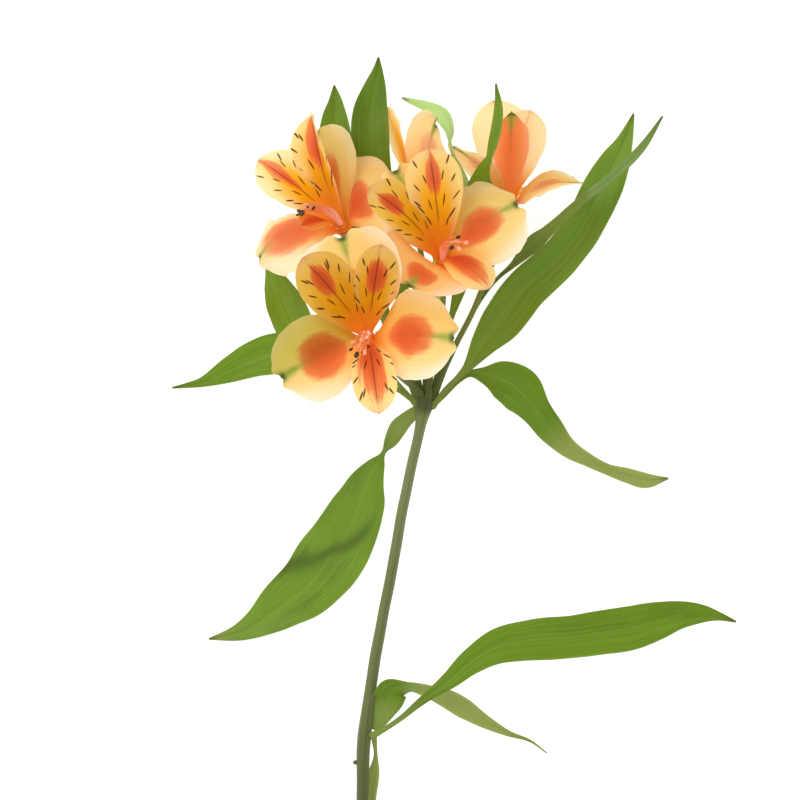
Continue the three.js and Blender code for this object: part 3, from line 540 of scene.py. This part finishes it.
def colour(code):
    """Linear colour from a hex code."""
    parts = [int(code[k:k + 2], 16) / 255 for k in (1, 3, 5)]
    return (*[c / 12.92 if c <= 0.04045 else ((c + 0.055) / 1.055) ** 2.4 for c in parts], 1)


class Paint:
    """A material under construction: its fields, its colour and its relief."""

    def __init__(self, name, base):
        self.material = bpy.data.materials.new(name)
        self.material.use_nodes = True
        self.tree = self.material.node_tree
        self.tree.nodes.clear()
        self.shade = colour(base)

    def field(self, name):
        return add_node(self.tree, "ShaderNodeAttribute", {}, "Fac", attribute_name=name)

    def place(self, x, y, z):
        return add_node(self.tree, "ShaderNodeCombineXYZ", {"X": x, "Y": y, "Z": z})

    def body(self):
        return add_node(self.tree, "ShaderNodeTexCoord", {}, "Object")

    def noise(self, place, detail, scale=1):
        """Noise between about -1 and 1."""
        inputs = {"Vector": place, "Scale": scale, "Detail": detail}
        return add_node(self.tree, "ShaderNodeTexNoise", inputs) * 4 - 2

    def over(self, mask, code, blend="MIX"):
        """Paints a colour over what is there, or multiplies by it, where the mask is 1."""
        inputs = {"Factor": mask, MIX_UNDER: self.shade, MIX_OVER: colour(code)}
        self.shade = add_node(self.tree, "ShaderNodeMix", inputs, MIX_RESULT, data_type="RGBA",
                              blend_type=blend)

    def finish(self, roughness, translucent, relief, sheen=0, specular=0.35, glow=0):
        """Closes the material. The relief is in millimetres, and the glow is painted light: an
        emission of the material's own colour that stands in for light shining through thin tissue."""
        bump = add_node(self.tree, "ShaderNodeBump", {
            "Strength": 1, "Distance": 1 / MM_PER_METRE, "Height": relief})
        shader = add_node(self.tree, "ShaderNodeBsdfPrincipled", {
            "Base Color": self.shade, "Roughness": roughness, "Specular IOR Level": specular,
            "Sheen Weight": sheen, "Emission Color": self.shade, "Emission Strength": glow,
            "Normal": bump})
        through = add_node(self.tree, "ShaderNodeBsdfTranslucent", {
            "Color": self.shade, "Normal": bump})
        both = add_node(self.tree, "ShaderNodeMixShader", {
            "Fac": translucent, 1: shader, 2: through})
        out = self.tree.nodes.new("ShaderNodeOutputMaterial")
        self.tree.links.new(both.socket, out.inputs["Surface"])
        return self.material


def leaf_material():
    """Parallel veins, a pale midrib, patches of lighter and darker green, a duller back, its own
    grey and turned tints, painted light, painted shade and a painted shadow of a fold."""
    paint = Paint("leaf_green", "#88ac20")
    share, edge, across, along = map(paint.field, ("share", "edge", "across", "along"))
    seed, back, pale, grey, turned = map(paint.field, ("seed", "back", "pale", "grey", "turned"))
    patches = paint.noise(paint.place(along * 0.035, across * 0.09, seed), detail=3)
    streaks = paint.noise(paint.place(along * 0.02, edge * 6, seed), detail=3)
    hairlines = paint.noise(paint.place(along * 0.05, edge * 22, seed), detail=1)
    veins = (edge * (math.pi * LEAF_VEINS)).math("COSINE")
    rib = across.bell(0.42)
    paint.over(patches.above(-0.1, 0.9), "#749810")
    paint.over(streaks.above(0, 1) * 0.7, "#98bc34")
    paint.over(hairlines.above(0.1, 1) * 0.35, "#60801a")
    paint.over(veins.above(0.2, 1) * 0.18, "#a0c048")
    paint.over(rib * 0.3 * share.below(0.6, 1), "#aac858")
    paint.over(abs(edge).above(0.93, 1) * 0.45, "#a5c050")
    # A painted shadow of a fold: a dark band across the leaf's middle.
    band = (share - edge * 0.17 + patches * 0.04 - 0.505).bell(0.045) * edge.above(-0.9, -0.5)
    paint.over(band * paint.field("band") * 0.8, "#587010")
    paint.over(back * 0.6, "#93a364")
    # Painted light: a leaf is painted paler where light shines through it or catches it.
    paint.over(pale, "#d2ee9c")
    paint.over(grey, "#88a060")
    paint.over(turned * 0.85, "#bdc673")
    paint.over(turned * abs(edge).above(0.75, 1) * 0.4, "#dfe894")
    paint.over(share.below(0.06, 0.18) * 0.6, "#aebd6c")
    paint.over(share.above(0.965, 1) * 0.6, "#8c7a3a")
    paint.over(paint.field("shade"), "#cfd6c0", "MULTIPLY")
    relief = veins * 0.018 + hairlines * 0.012 + patches * 0.03 - rib * 0.05
    return paint.finish(roughness=0.46, translucent=0.38, relief=relief, sheen=0.05)


def dashes(share, across, seed):
    """Dark strokes on both sides of the middle, which lean outward like the veins. The seed
    shifts each of them a little."""
    total = None
    rng = np.random.default_rng(STROKE_SEED)
    for ahead, aside, lean in STROKES:
        for side in (-1, 1):
            shift = (seed * rng.uniform(3, 9) + rng.uniform(0, 6)).math("SINE")
            along = share * STROKED_LENGTH - (shift * 1.5 + ahead)
            offset = across * side - (shift * 0.5 + aside)
            turn = math.radians(lean)
            length, breadth = rng.uniform(*STROKE_LENGTHS), rng.uniform(*STROKE_BREADTHS)
            stroke = ((along * math.cos(turn) + offset * math.sin(turn)).bell(length)
                      * (offset * math.cos(turn) - along * math.sin(turn)).bell(breadth))
            total = stroke if total is None else total.math("MAXIMUM", stroke)
    return total.above(0.25, 0.55)


def tepal_fields(paint, clouding):
    """The fields of a tepal, its veins, clouds and streaks, and its relief."""
    names = ("share", "edge", "across", "along", "seed", "back", "blotch", "high", "warm", "blush",
             "pale", "plain", "milky", "dusk")
    f = SimpleNamespace(**{name: paint.field(name) for name in names})
    f.veins = (f.edge * (math.pi * TEPAL_VEINS)).math("COSINE")
    grain = paint.noise(paint.body(), scale=1500, detail=1)
    folds = paint.noise(paint.place(f.along * 0.05, f.edge * 4, f.seed), detail=2)
    f.relief = f.veins * 0.012 + grain * 0.012 + folds * 0.05
    along, across = f.along * (3 * clouding), f.across * (4 * clouding)
    f.clouds = paint.noise(paint.place(along, across, f.seed), detail=3)
    f.streaks = paint.noise(paint.place(f.along * 0.05, f.edge * 9, f.seed), detail=2)
    return f


def outer_material():
    """Cream to apricot, with a soft brick blotch that a green rib splits toward the tip."""
    paint = Paint("tepal_outer", "#fee6a2")
    f = tepal_fields(paint, clouding=0.03)
    share, edge, across, clouds, streaks = f.share, f.edge, f.across, f.clouds, f.streaks
    rim = (abs(edge) + share * 0.5 + clouds * 0.08).above(0.8, 1.4)
    paint.over(rim * 0.85, "#fffaf0")
    paint.over((share + streaks * 0.05).below(0, 0.62) * 0.85, "#fdbc50")
    paint.over((share + streaks * 0.04).below(0, 0.28), "#f8a83c")
    # Painted shade and painted light: the half of a tepal toward +y is painted a deeper gold as
    # shade, and the half toward -y a paler cream as light.
    paint.over((f.high + clouds * 0.1).above(-0.1, 0.8) * 0.5, "#f4cc58")
    paint.over((f.high + clouds * 0.1).below(-0.9, 0) * share.above(0.3, 0.8) * 0.25, "#fff0d0")
    front = (f.back * -0.85 + 1) * (f.pale * -0.35 + 1)
    margin = abs(edge) * 0.8 + share * 0.6 + clouds * 0.08
    paint.over(f.pale * share.above(0.2, 0.7) * 0.5, "#fff4d8")
    paint.over(f.blush * (share * -0.4 + 1) * 0.8, "#fba47a")
    paint.over(f.milky * margin.above(0.55, 1.05) * 0.85, "#fff8dc")
    blotch = f.blotch + clouds * 0.14 + streaks * 0.07
    paint.over(blotch.above(-0.1, 0.25) * front * 0.85, "#f28448")
    paint.over(blotch.above(0.1, 0.7) * front * 0.75, "#e86a36")
    paint.over(f.warm * (abs(edge) * -0.35 + 1), "#fe9e48")
    wedge = share.above(0.66, 1) * 1.5 + 0.25
    rib = (across / wedge).bell(1) * share.above(0.68, 0.88)
    paint.over(rib * 0.9, "#c3cc62")
    tip = (across * 0.6).bell(1) * share.above(0.94, 0.985)
    paint.over(tip * 0.9, "#5c6a26")
    paint.over(across.bell(0.5) * f.back * share.above(0.35, 1) * 0.7, "#a8a04c")
    paint.over(f.veins.above(0.3, 1) * 0.05, "#e48c44")
    # Painted shade: a tepal that lies in shade is darkened on its half toward +y.
    paint.over(f.dusk * f.high.above(-0.3, 0.2), "#e2eebe", "MULTIPLY")
    return paint.finish(relief=f.relief, **TEPAL_FINISH)


def inner_material():
    """Golden yellow from a deep orange base, with a brick mark, a dark midrib and dashes."""
    paint = Paint("tepal_inner", "#fde88a")
    f = tepal_fields(paint, clouding=0.04)
    share, edge, across, clouds, streaks = f.share, f.edge, f.across, f.clouds, f.streaks
    paint.over((abs(edge) + clouds * 0.1).below(0.45, 1.15) * share.below(0.55, 0.98), "#fbd008")
    paint.over((share + abs(edge) * 0.14 + streaks * 0.05).below(0.2, 0.7), "#f2b00e")
    paint.over((share + streaks * 0.05).below(0.05, 0.42), "#fab23c")
    paint.over(share.above(0.86, 1) * 0.7, "#fde4ba")
    paint.over(f.warm * 0.7, "#f29a3c")
    paint.over(f.pale * share.above(0.1, 0.5), "#fff0cc")
    margin = abs(edge) * 0.7 + share * 0.7 + clouds * 0.08
    paint.over(f.milky * margin.above(0.55, 1.15), "#fff6d0")
    front = f.back * -0.85 + 1
    blotch = f.blotch + clouds * 0.12 + streaks * 0.2
    paint.over(blotch.above(-0.08, 0.22) * front * 0.9, "#f28248")
    paint.over(blotch.above(0.15, 0.6) * front * 0.7, "#e26432")
    paint.over(blotch.above(-0.05, 0.3) * f.milky * share.above(0.6, 0.95) * 0.6, "#ffbe96")
    marked = front * (f.plain * -1 + 1)
    line = across.bell(0.22) * share.above(0.3, 0.42) * share.below(0.82, 0.95)
    paint.over(line * marked * 0.8, "#8a2e14")
    paint.over(dashes(share, across, f.seed) * marked * 0.95, "#68280c")
    paint.over(f.veins.above(0.3, 1) * 0.05, "#dc8a1e")
    paint.over(across.bell(0.5) * f.back * 0.5, "#d0b45a")
    # Painted shade: a tepal that lies in shade is darkened beyond its base.
    paint.over(f.dusk * share.above(0.2, 0.6), "#e8dcb4", "MULTIPLY")
    return paint.finish(relief=f.relief, **TEPAL_FINISH)


def stem_material():
    """A dull olive green with fine lengthwise lines, darkest at the whorl and pale where cut."""
    paint = Paint("stem_green", "#747d48")
    share, around = paint.field("share"), paint.field("around")
    around_x, around_y = around.math("COSINE"), around.math("SINE")
    lines = paint.noise(paint.place(around_x * 5, around_y * 5, share * 14), detail=3)
    patches = paint.noise(paint.place(around_x, around_y, share * 22), detail=2)
    paint.over(patches.above(-0.2, 1) * 0.4, "#6c763e")
    paint.over(lines.above(0, 1) * 0.35, "#8a925c")
    paint.over(lines.below(-1, -0.2) * 0.3, "#5f6a36")
    paint.over(share.below(0.2, 0.55) * 0.85, "#586030")
    paint.over(share.above(0.6, 0.9) * 0.5, "#98a068")
    paint.over(share.above(0.93, 0.965) * 0.6, "#7f8c44")
    paint.over(share.above(0.964, 0.986) * 0.85, "#48562a")
    paint.over(share.below(0, 0.004) * 0.8, "#c6cc9c")
    relief = lines * 0.05 + patches * 0.06
    return paint.finish(roughness=0.5, translucent=0.08, relief=relief)


def pedicel_material():
    """Dark green at the foot, lighter toward the ribbed ovary and orange under the bloom."""
    paint = Paint("pedicel_green", "#85933f")
    share, around = paint.field("share"), paint.field("around")
    around_x, around_y = around.math("COSINE"), around.math("SINE")
    lines = paint.noise(paint.place(around_x * 3, around_y * 3, share * 6), detail=3)
    paint.over(lines.above(0, 1) * 0.5, "#6d7d2e")
    paint.over(share.above(0.82, 0.96) * 0.6, "#7f8f3a")
    paint.over(share.below(0.1, 0.45) * 0.85, "#4e5e26")
    paint.over((around * 6).math("COSINE").above(0.2, 1) * share.above(0.75, 0.9) * 0.6, "#5f7026")
    paint.over(share.above(0.97, 1) * 0.8, "#c98a3e")
    return paint.finish(roughness=0.48, translucent=0.1, relief=lines * 0.05)


def stamen_material():
    """Rose-orange filaments, dark brown ripe anthers, and a pale style and pale other anthers."""
    paint = Paint("stamen_rose", "#e2874f")
    share, part = paint.field("share"), paint.field("part")
    grain = paint.noise(paint.body(), scale=2600, detail=2)
    foot = share.below(0.25, 0.6) * part.below(0.4, 0.6)
    # The filaments' feet are painted white, partly for their own pale colour and partly as painted
    # light where light shows through the bloom's centre.
    paint.over(foot * paint.field("blanched"), "#fff2ea")
    paint.over(part.above(0.4, 0.6), "#4c3216")
    paint.over(part.above(0.4, 0.6) * grain.above(0, 1) * 0.6, "#6a5a2c")
    paint.over(part.above(1.4, 1.6), "#e8a27a")
    # The glow is painted light, an emission that makes the stamens look lit inside the bloom.
    return paint.finish(roughness=0.6, translucent=0.15, relief=grain * 0.05, glow=0.3)


# ---- leaves
def add_leaf(shape, seed, rows, keel=LEAF_KEEL, wave=LEAF_WAVE, pale=0, grey=0, shade=0, band=0,
             turn=2):
    """A leaf along its rows. A turn over 1 never shows."""
    rng = np.random.default_rng(seed)
    curve = curve_through([(*row, 0)[:5] for row in rows])
    share = np.linspace(0, 1, LEAF_STEPS + 1)
    line = curve(share)
    tangent = tangents(curve, share)
    flat = unit(np.cross(tangent, [0, 0, 1]))
    normal = np.cross(flat, tangent)
    roll = np.radians(line[:, 4])[:, None]
    sideways = flat * np.cos(roll) + normal * np.sin(roll)
    face = normal * np.cos(roll) - flat * np.sin(roll)
    share = share[:, None]
    v = np.linspace(-1, 1, LEAF_ACROSS + 1)[None]
    width = np.maximum(line[:, 3:4], LEAF_LEAST_WIDTH + LEAF_LEAST_WIDENING * (1 - share))
    width = width * (1 + LEAF_WAVER * ripple(rng, share, LEAF_WAVERS))
    near = bell(share * curve.length, BASE_LENGTH)
    width += BASE_FLARE * near
    line[:, :3] -= tangent[0] * BASE_REACH * near
    across = v * width
    blade = smooth(share, *BLADE)
    rise = keel * np.abs(v) + wave * v ** 2 * np.sin(share * 2 * np.pi * LEAF_WAVES + v)
    frill = LEAF_FRILL * blade * frilled(rng, share, v, LEAF_FRILLS)
    sway = 2 * ripple(rng, share, LEAF_PLEAT_SWAY)
    pleats = LEAF_PLEAT * blade * np.sin(v * LEAF_PLEATS + sway)
    groove = -LEAF_GROOVE * bell(across, LEAF_GROOVE_WIDTH) * smooth(share, 0.05, 0.2)
    offset = width * (rise + frill) + pleats + groove
    middle = (line[:, None, :3] + sideways[:, None] * across[..., None]
              + face[:, None] * offset[..., None])
    depth = mix(PETIOLE_THICKNESS, LEAF_THICKNESS, smooth(share, 0, PETIOLE_SHARE))
    rib = LEAF_RIB * bell(across, LEAF_RIB_WIDTH) * (1 - share)
    thickness = depth * (1 - MARGIN_THINNING * v ** 4) + rib
    add_sheet(shape, middle, face[:, None], thickness, share=share, edge=v, across=across,
              along=share * curve.length, seed=seed * LEAF_NOISE_STEP, pale=pale, grey=grey,
              shade=shade, band=band, turned=smooth(share, turn, turn + LEAF_TURN_SHARE))


# ---- blooms
def bloom_frame(bloom):
    """Where a bloom sits, its axis, and where its clock says 0 and 90 degrees."""
    axis = unit(np.array(bloom["facing"], float))
    top = np.array(bloom["dorsal"], float)
    top = unit(top - axis * top.dot(axis))
    seat = np.array(bloom["seat"], float)
    return SimpleNamespace(seat=seat, axis=axis, top=top, side=np.cross(axis, top))


def outward(spot, clock):
    angle = math.radians(clock)
    return spot.top * math.cos(angle) + spot.side * math.sin(angle)


def add_tepal(shape, spot, form, seed, clock, reach, flare=0, roll=0, cup=TEPAL_CUP, fold=0,
              wide=1, lobe=None, blotch=None, warm=0, blush=0, pale=0, plain=0, milky=0, dusk=0):
    """A tepal whose middle line is an arc. A positive lobe ends it in two round lobes, and a
    negative one rounds it off."""
    rng = np.random.default_rng(seed)
    start = math.radians(form.rise)
    bend = math.radians(form.spread + flare) - start
    share = np.linspace(0, 1, TEPAL_STEPS + 1)[:, None]
    v = np.linspace(-1, 1, TEPAL_ACROSS + 1)[None]
    v = np.sign(v) * np.abs(v) ** TEPAL_CROWDING
    lobe = form.lobe if lobe is None else lobe
    lobes = lobe * (np.sin(np.pi * v) ** 2 if lobe > 0 else v ** 2)
    lobes = lobes + form.point * bell(v, TEPAL_POINT_WIDTH)
    stretched = share * (1 + lobes * share ** 4)
    angle = start + bend * stretched
    radius = form.seat_radius + reach * (math.cos(start) - np.cos(angle)) / bend
    height = form.seat_height + reach * (np.sin(angle) - math.sin(start)) / bend
    out = outward(spot, clock)
    flat = np.cross(out, spot.axis)
    face = spot.axis * np.sin(angle)[..., None] - out * np.cos(angle)[..., None]
    turn = (math.radians(roll) * share)[..., None]
    sideways = flat * np.cos(turn) + face * np.sin(turn)
    normal = face * np.cos(turn) - flat * np.sin(turn)
    opening = smooth(share, form.claw_share, form.widest) ** form.opening
    past = np.maximum(0, share - form.widest) / (1 - form.widest)
    width = mix(form.claw, form.limb, opening) * form.closing(past)
    width = np.maximum(width, TEPAL_LEAST_WIDTH) * wide
    width = width * (1 + TEPAL_WAVER * ripple(rng, share, TEPAL_WAVERS))
    across = v * width
    limb = smooth(share, *LIMB)
    frill = limb * width * TEPAL_FRILL * frilled(rng, share, v, TEPAL_FRILLS)
    lip = TEPAL_LIP * share ** 6 * ripple(rng, (v + 1) / 2, TEPAL_LIPS)
    sway = np.sin(v * TEPAL_PLEATS + rng.uniform(0, 6) + ripple(rng, share, 1))
    pleats = TEPAL_PLEAT * limb * sway * (1 - v ** 2)
    groove = -TEPAL_GROOVE * bell(across, TEPAL_GROOVE_WIDTH) * smooth(share, 0.1, 0.4)
    rise = width * (cup * v * v + fold * np.abs(v)) * opening + frill + lip + pleats + groove
    middle = (spot.seat + out * radius[..., None] + spot.axis * height[..., None]
              + sideways * across[..., None] + normal * rise[..., None])
    thickness = TEPAL_THICKNESS * (1 - MARGIN_THINNING * np.abs(v) ** 3)
    thickness = thickness * mix(CLAW_THICKENING, 1, smooth(share, 0, 0.3))
    low, high, half = blotch or form.blotch
    reach_in = (share - (low + high) / 2) / ((high - low) / 2)
    mark = 1 - np.sqrt(reach_in ** 2 + (v / half) ** 2)
    # High is how far across the tepal a point lies toward +y. The outer material paints shade and
    # light on the tepal's halves by it.
    add_sheet(shape, middle, normal, thickness, share=share, edge=v, across=across,
              along=share * reach, seed=seed * TEPAL_NOISE_STEP, blotch=mark,
              high=v * sideways[..., 1], warm=warm, blush=blush, pale=pale, plain=plain,
              milky=milky, dusk=dusk)


def add_disc(shape, spot, radius, height, **fields):
    """A low round cushion on the bloom's axis that a ring of tepals or stamens grows from."""
    centre = spot.seat + spot.axis * (height + DISC_HEIGHT / 2)
    add_ball(shape, centre, (spot.top * radius, spot.side * radius,
                             spot.axis * DISC_HEIGHT * DISC_OVERLAP),
             rings=10, sides=24, **fields)


def tepals(spot, form, rows, disc_radius, disc_height, seed):
    shape = Shape()
    add_disc(shape, spot, disc_radius, disc_height, share=0, seed=0, blotch=-1)
    for k, tepal in enumerate(rows):
        add_tepal(shape, spot, form, seed + k, **tepal)
    return shape


def stamens(spot, clock, drop, ripe, blanched, seed):
    shape = Shape()
    rng = np.random.default_rng(seed)
    base = 2 * (DISC_HEIGHT + DISC_GAP)
    foot = spot.seat + spot.axis * (base + DISC_HEIGHT / 2)
    low = outward(spot, clock)
    add_disc(shape, spot, STAMEN_DISC_RADIUS, base, share=0, part=FILAMENT)

    def filament(out, spread, length, thin, part):
        rows = []
        for share in FILAMENT_SHARES:
            height = length * share * (1 - FILAMENT_FORESHORTENING * share)
            place = (foot + spot.axis * height + out * spread * (FILAMENT_START + share)
                     + low * drop * share * share)
            rows.append([*place, mix(FILAMENT_RADIUS, thin, share)])
        add_rod(shape, curve_through(rows), FILAMENT_STEPS, FILAMENT_SIDES, part=part,
                blanched=blanched)
        tip = np.array(rows[-1][:3])
        return tip, unit(tip - np.array(rows[-2][:3]))

    def halves(angle):
        """The girth of an anther, which a groove parts in two."""
        return 1 - 0.28 * np.cos(angle) ** 8 + 0.05 * np.cos(2 * angle)

    for k, length in enumerate(STAMEN_LENGTHS):
        out = outward(spot, 60 * (k + 0.5))
        tip, along = filament(out, FILAMENT_SPREAD, length, FILAMENT_TIP_RADIUS, FILAMENT)
        lean = unit(along + out * rng.uniform(*ANTHER_SPLAY) + low * rng.uniform(*ANTHER_NOD))
        first = unit(np.cross(lean, spot.axis))
        size = rng.choice(ANTHER_SIZES)
        axes = [axis * radius * size
                for axis, radius in zip((np.cross(lean, first), first, lean), ANTHER_RADII)]
        add_ball(shape, tip, axes, halves, part=RIPE if k in ripe else PALE, share=1)
    tip, along = filament(low, 0, STYLE_LENGTH, STYLE_TIP_RADIUS, PALE)
    for clock in (0, 120, 240):
        out = outward(spot, clock)
        arm = (unit(np.cross(along, out)), unit(out + 0.2 * along), unit(along + out * 0.9))
        axes = [axis * radius for axis, radius in zip(arm, STIGMA_RADII)]
        add_ball(shape, tip + out * STIGMA_OUT + along * STIGMA_UP, axes, rings=8, sides=8,
                 part=PALE, share=1)
    return shape


def pedicel(spot, points):
    shape = Shape()
    rows = [[*point, PEDICEL_RADIUS] for point in points]
    for back, radius in ((OVARY_LENGTH + OVARY_NECK_LENGTH, PEDICEL_RADIUS),
                         (OVARY_LENGTH, OVARY_NECK_RADIUS), (OVARY_LENGTH / 2, OVARY_RADIUS),
                         (DISC_GAP, OVARY_RADIUS)):
        rows.append([*(spot.seat - spot.axis * back), radius])
    curve = curve_through(rows)
    ovary = 1 - (OVARY_LENGTH + 1) / curve.length

    def ribs(share, angle):
        ridge = np.abs(np.cos(3 * angle)) ** 1.5
        swell = smooth(share, ovary, ovary + 0.05)
        foot = PEDICEL_FOOT * bell(share * curve.length, PEDICEL_FOOT_LENGTH)
        return (1 + foot - PEDICEL_RIDGE * np.cos(6 * angle) * (1 - swell)
                - swell * OVARY_RIB * (1 - ridge))
    add_rod(shape, curve, PEDICEL_STEPS, PEDICEL_SIDES, ribs)
    return shape


def stem():
    shape = Shape()

    def ridges(share, angle):
        girth = 1 - CUT_NARROWING * np.exp(-share / CUT_SHARE)
        girth += WHORL_SWELL * bell(share - WHORL_MIDDLE, WHORL_SPREAD)
        return girth * sum((height * np.sin(count * angle + twist * share)
                            for height, count, twist in STEM_RIDGES), 1)
    add_rod(shape, curve_through(STEM), STEM_STEPS, STEM_SIDES, ridges)
    end, before = np.array(STEM[-1]), np.array(STEM[-2])
    along = unit(end[:3] - before[:3])
    first = unit(np.cross(along, [0, 0, 1]))
    crown = end[3] * (1 + WHORL_SWELL)
    add_ball(shape, end[:3], (first * crown, np.cross(along, first) * crown, along * WHORL_CROWN),
             rings=12, sides=STEM_SIDES, share=1, around=1)
    add_ball(shape, STUB[:3], np.diag(STUB[3:]), rings=8, sides=12, share=STUB_SHARE, around=1)
    return shape


# ---- the whole stem
leaf_green, stem_green, pedicel_green = leaf_material(), stem_material(), pedicel_material()
outer_peach, inner_yellow, stamen_rose = outer_material(), inner_material(), stamen_material()

stem().piece("stem_fine", "stem", stem_green, "stem")
for number, (name, leaf) in enumerate(LEAVES.items()):
    blade = Shape()
    add_leaf(blade, LEAF_SEED + number, **leaf)
    blade.piece(f"leaf_{name}_fine", f"leaf_{name}", leaf_green, "leaf")
for number, (name, bloom) in enumerate(BLOOMS.items()):
    spot, seed = bloom_frame(bloom), BLOOM_SEED + BLOOM_SEED_STEP * number
    node = f"bloom_{name}"
    pedicel(spot, bloom["pedicel"]).piece(
        f"pedicel_{name}_fine", f"pedicel_{name}", pedicel_green, "pedicel")
    tepals(spot, OUTER, bloom["outer"], OUTER_DISC_RADIUS, 0, seed).piece(
        f"{node}_outer_fine", f"{node}_outer_tepals", outer_peach, "outer_tepal")
    tepals(spot, INNER, bloom["inner"], INNER_DISC_RADIUS, DISC_HEIGHT + DISC_GAP, seed + 3).piece(
        f"{node}_inner_fine", f"{node}_inner_tepals", inner_yellow, "inner_tepal")
    blanched = bloom.get("blanched", FEET_PALE_AND_LIT)
    stamens(spot, *bloom["droop"], bloom["ripe"], blanched, seed + 6).piece(
        f"{node}_stamens_fine", f"{node}_stamens", stamen_rose, "stamen")


# ---- floor, light and camera
def make_floor():
    bpy.ops.mesh.primitive_plane_add(size=FLOOR_SIZE, location=(0, 0, 0))
    floor = bpy.context.object
    floor.name = "floor"
    material = bpy.data.materials.new("floor_white")
    material.use_nodes = True
    shader = material.node_tree.nodes["Principled BSDF"]
    looks = {"Base Color": (FLOOR_GREY, FLOOR_GREY, FLOOR_GREY, 1), "Roughness": 0.9,
             "Specular IOR Level": 0.1, "Emission Color": WHITE, "Emission Strength": FLOOR_GLOW}
    for name, value in looks.items():
        shader.inputs[name].default_value = value
    floor.data.materials.append(material)


def make_light():
    world = bpy.data.worlds.new("studio")
    bpy.context.scene.world = world
    world.use_nodes = True
    sky = world.node_tree.nodes["Background"]
    sky.inputs["Color"].default_value = WHITE
    sky.inputs["Strength"].default_value = SKY_STRENGTH
    lamp = bpy.data.lights.new("key", "SUN")
    lamp.energy = SUN_STRENGTH
    lamp.angle = math.radians(SUN_SOFTNESS)
    key = bpy.data.objects.new("key", lamp)
    key.rotation_euler = (*map(math.radians, SUN_TILT), 0)
    bpy.context.scene.collection.objects.link(key)
    bpy.context.scene.view_settings.view_transform = "Standard"


def make_camera():
    data = bpy.data.cameras.new("camera")
    data.lens = CAMERA_LENS
    data.sensor_width = CAMERA_SENSOR
    data.clip_start, data.clip_end = CLIP_START, CLIP_END
    camera = bpy.data.objects.new("camera", data)
    camera.location = (np.array([0, 0, CAMERA_HEIGHT]) + OFFSET) / MM_PER_METRE
    bpy.context.scene.collection.objects.link(camera)
    bpy.context.scene.camera = camera


make_floor()
make_light()
make_camera()
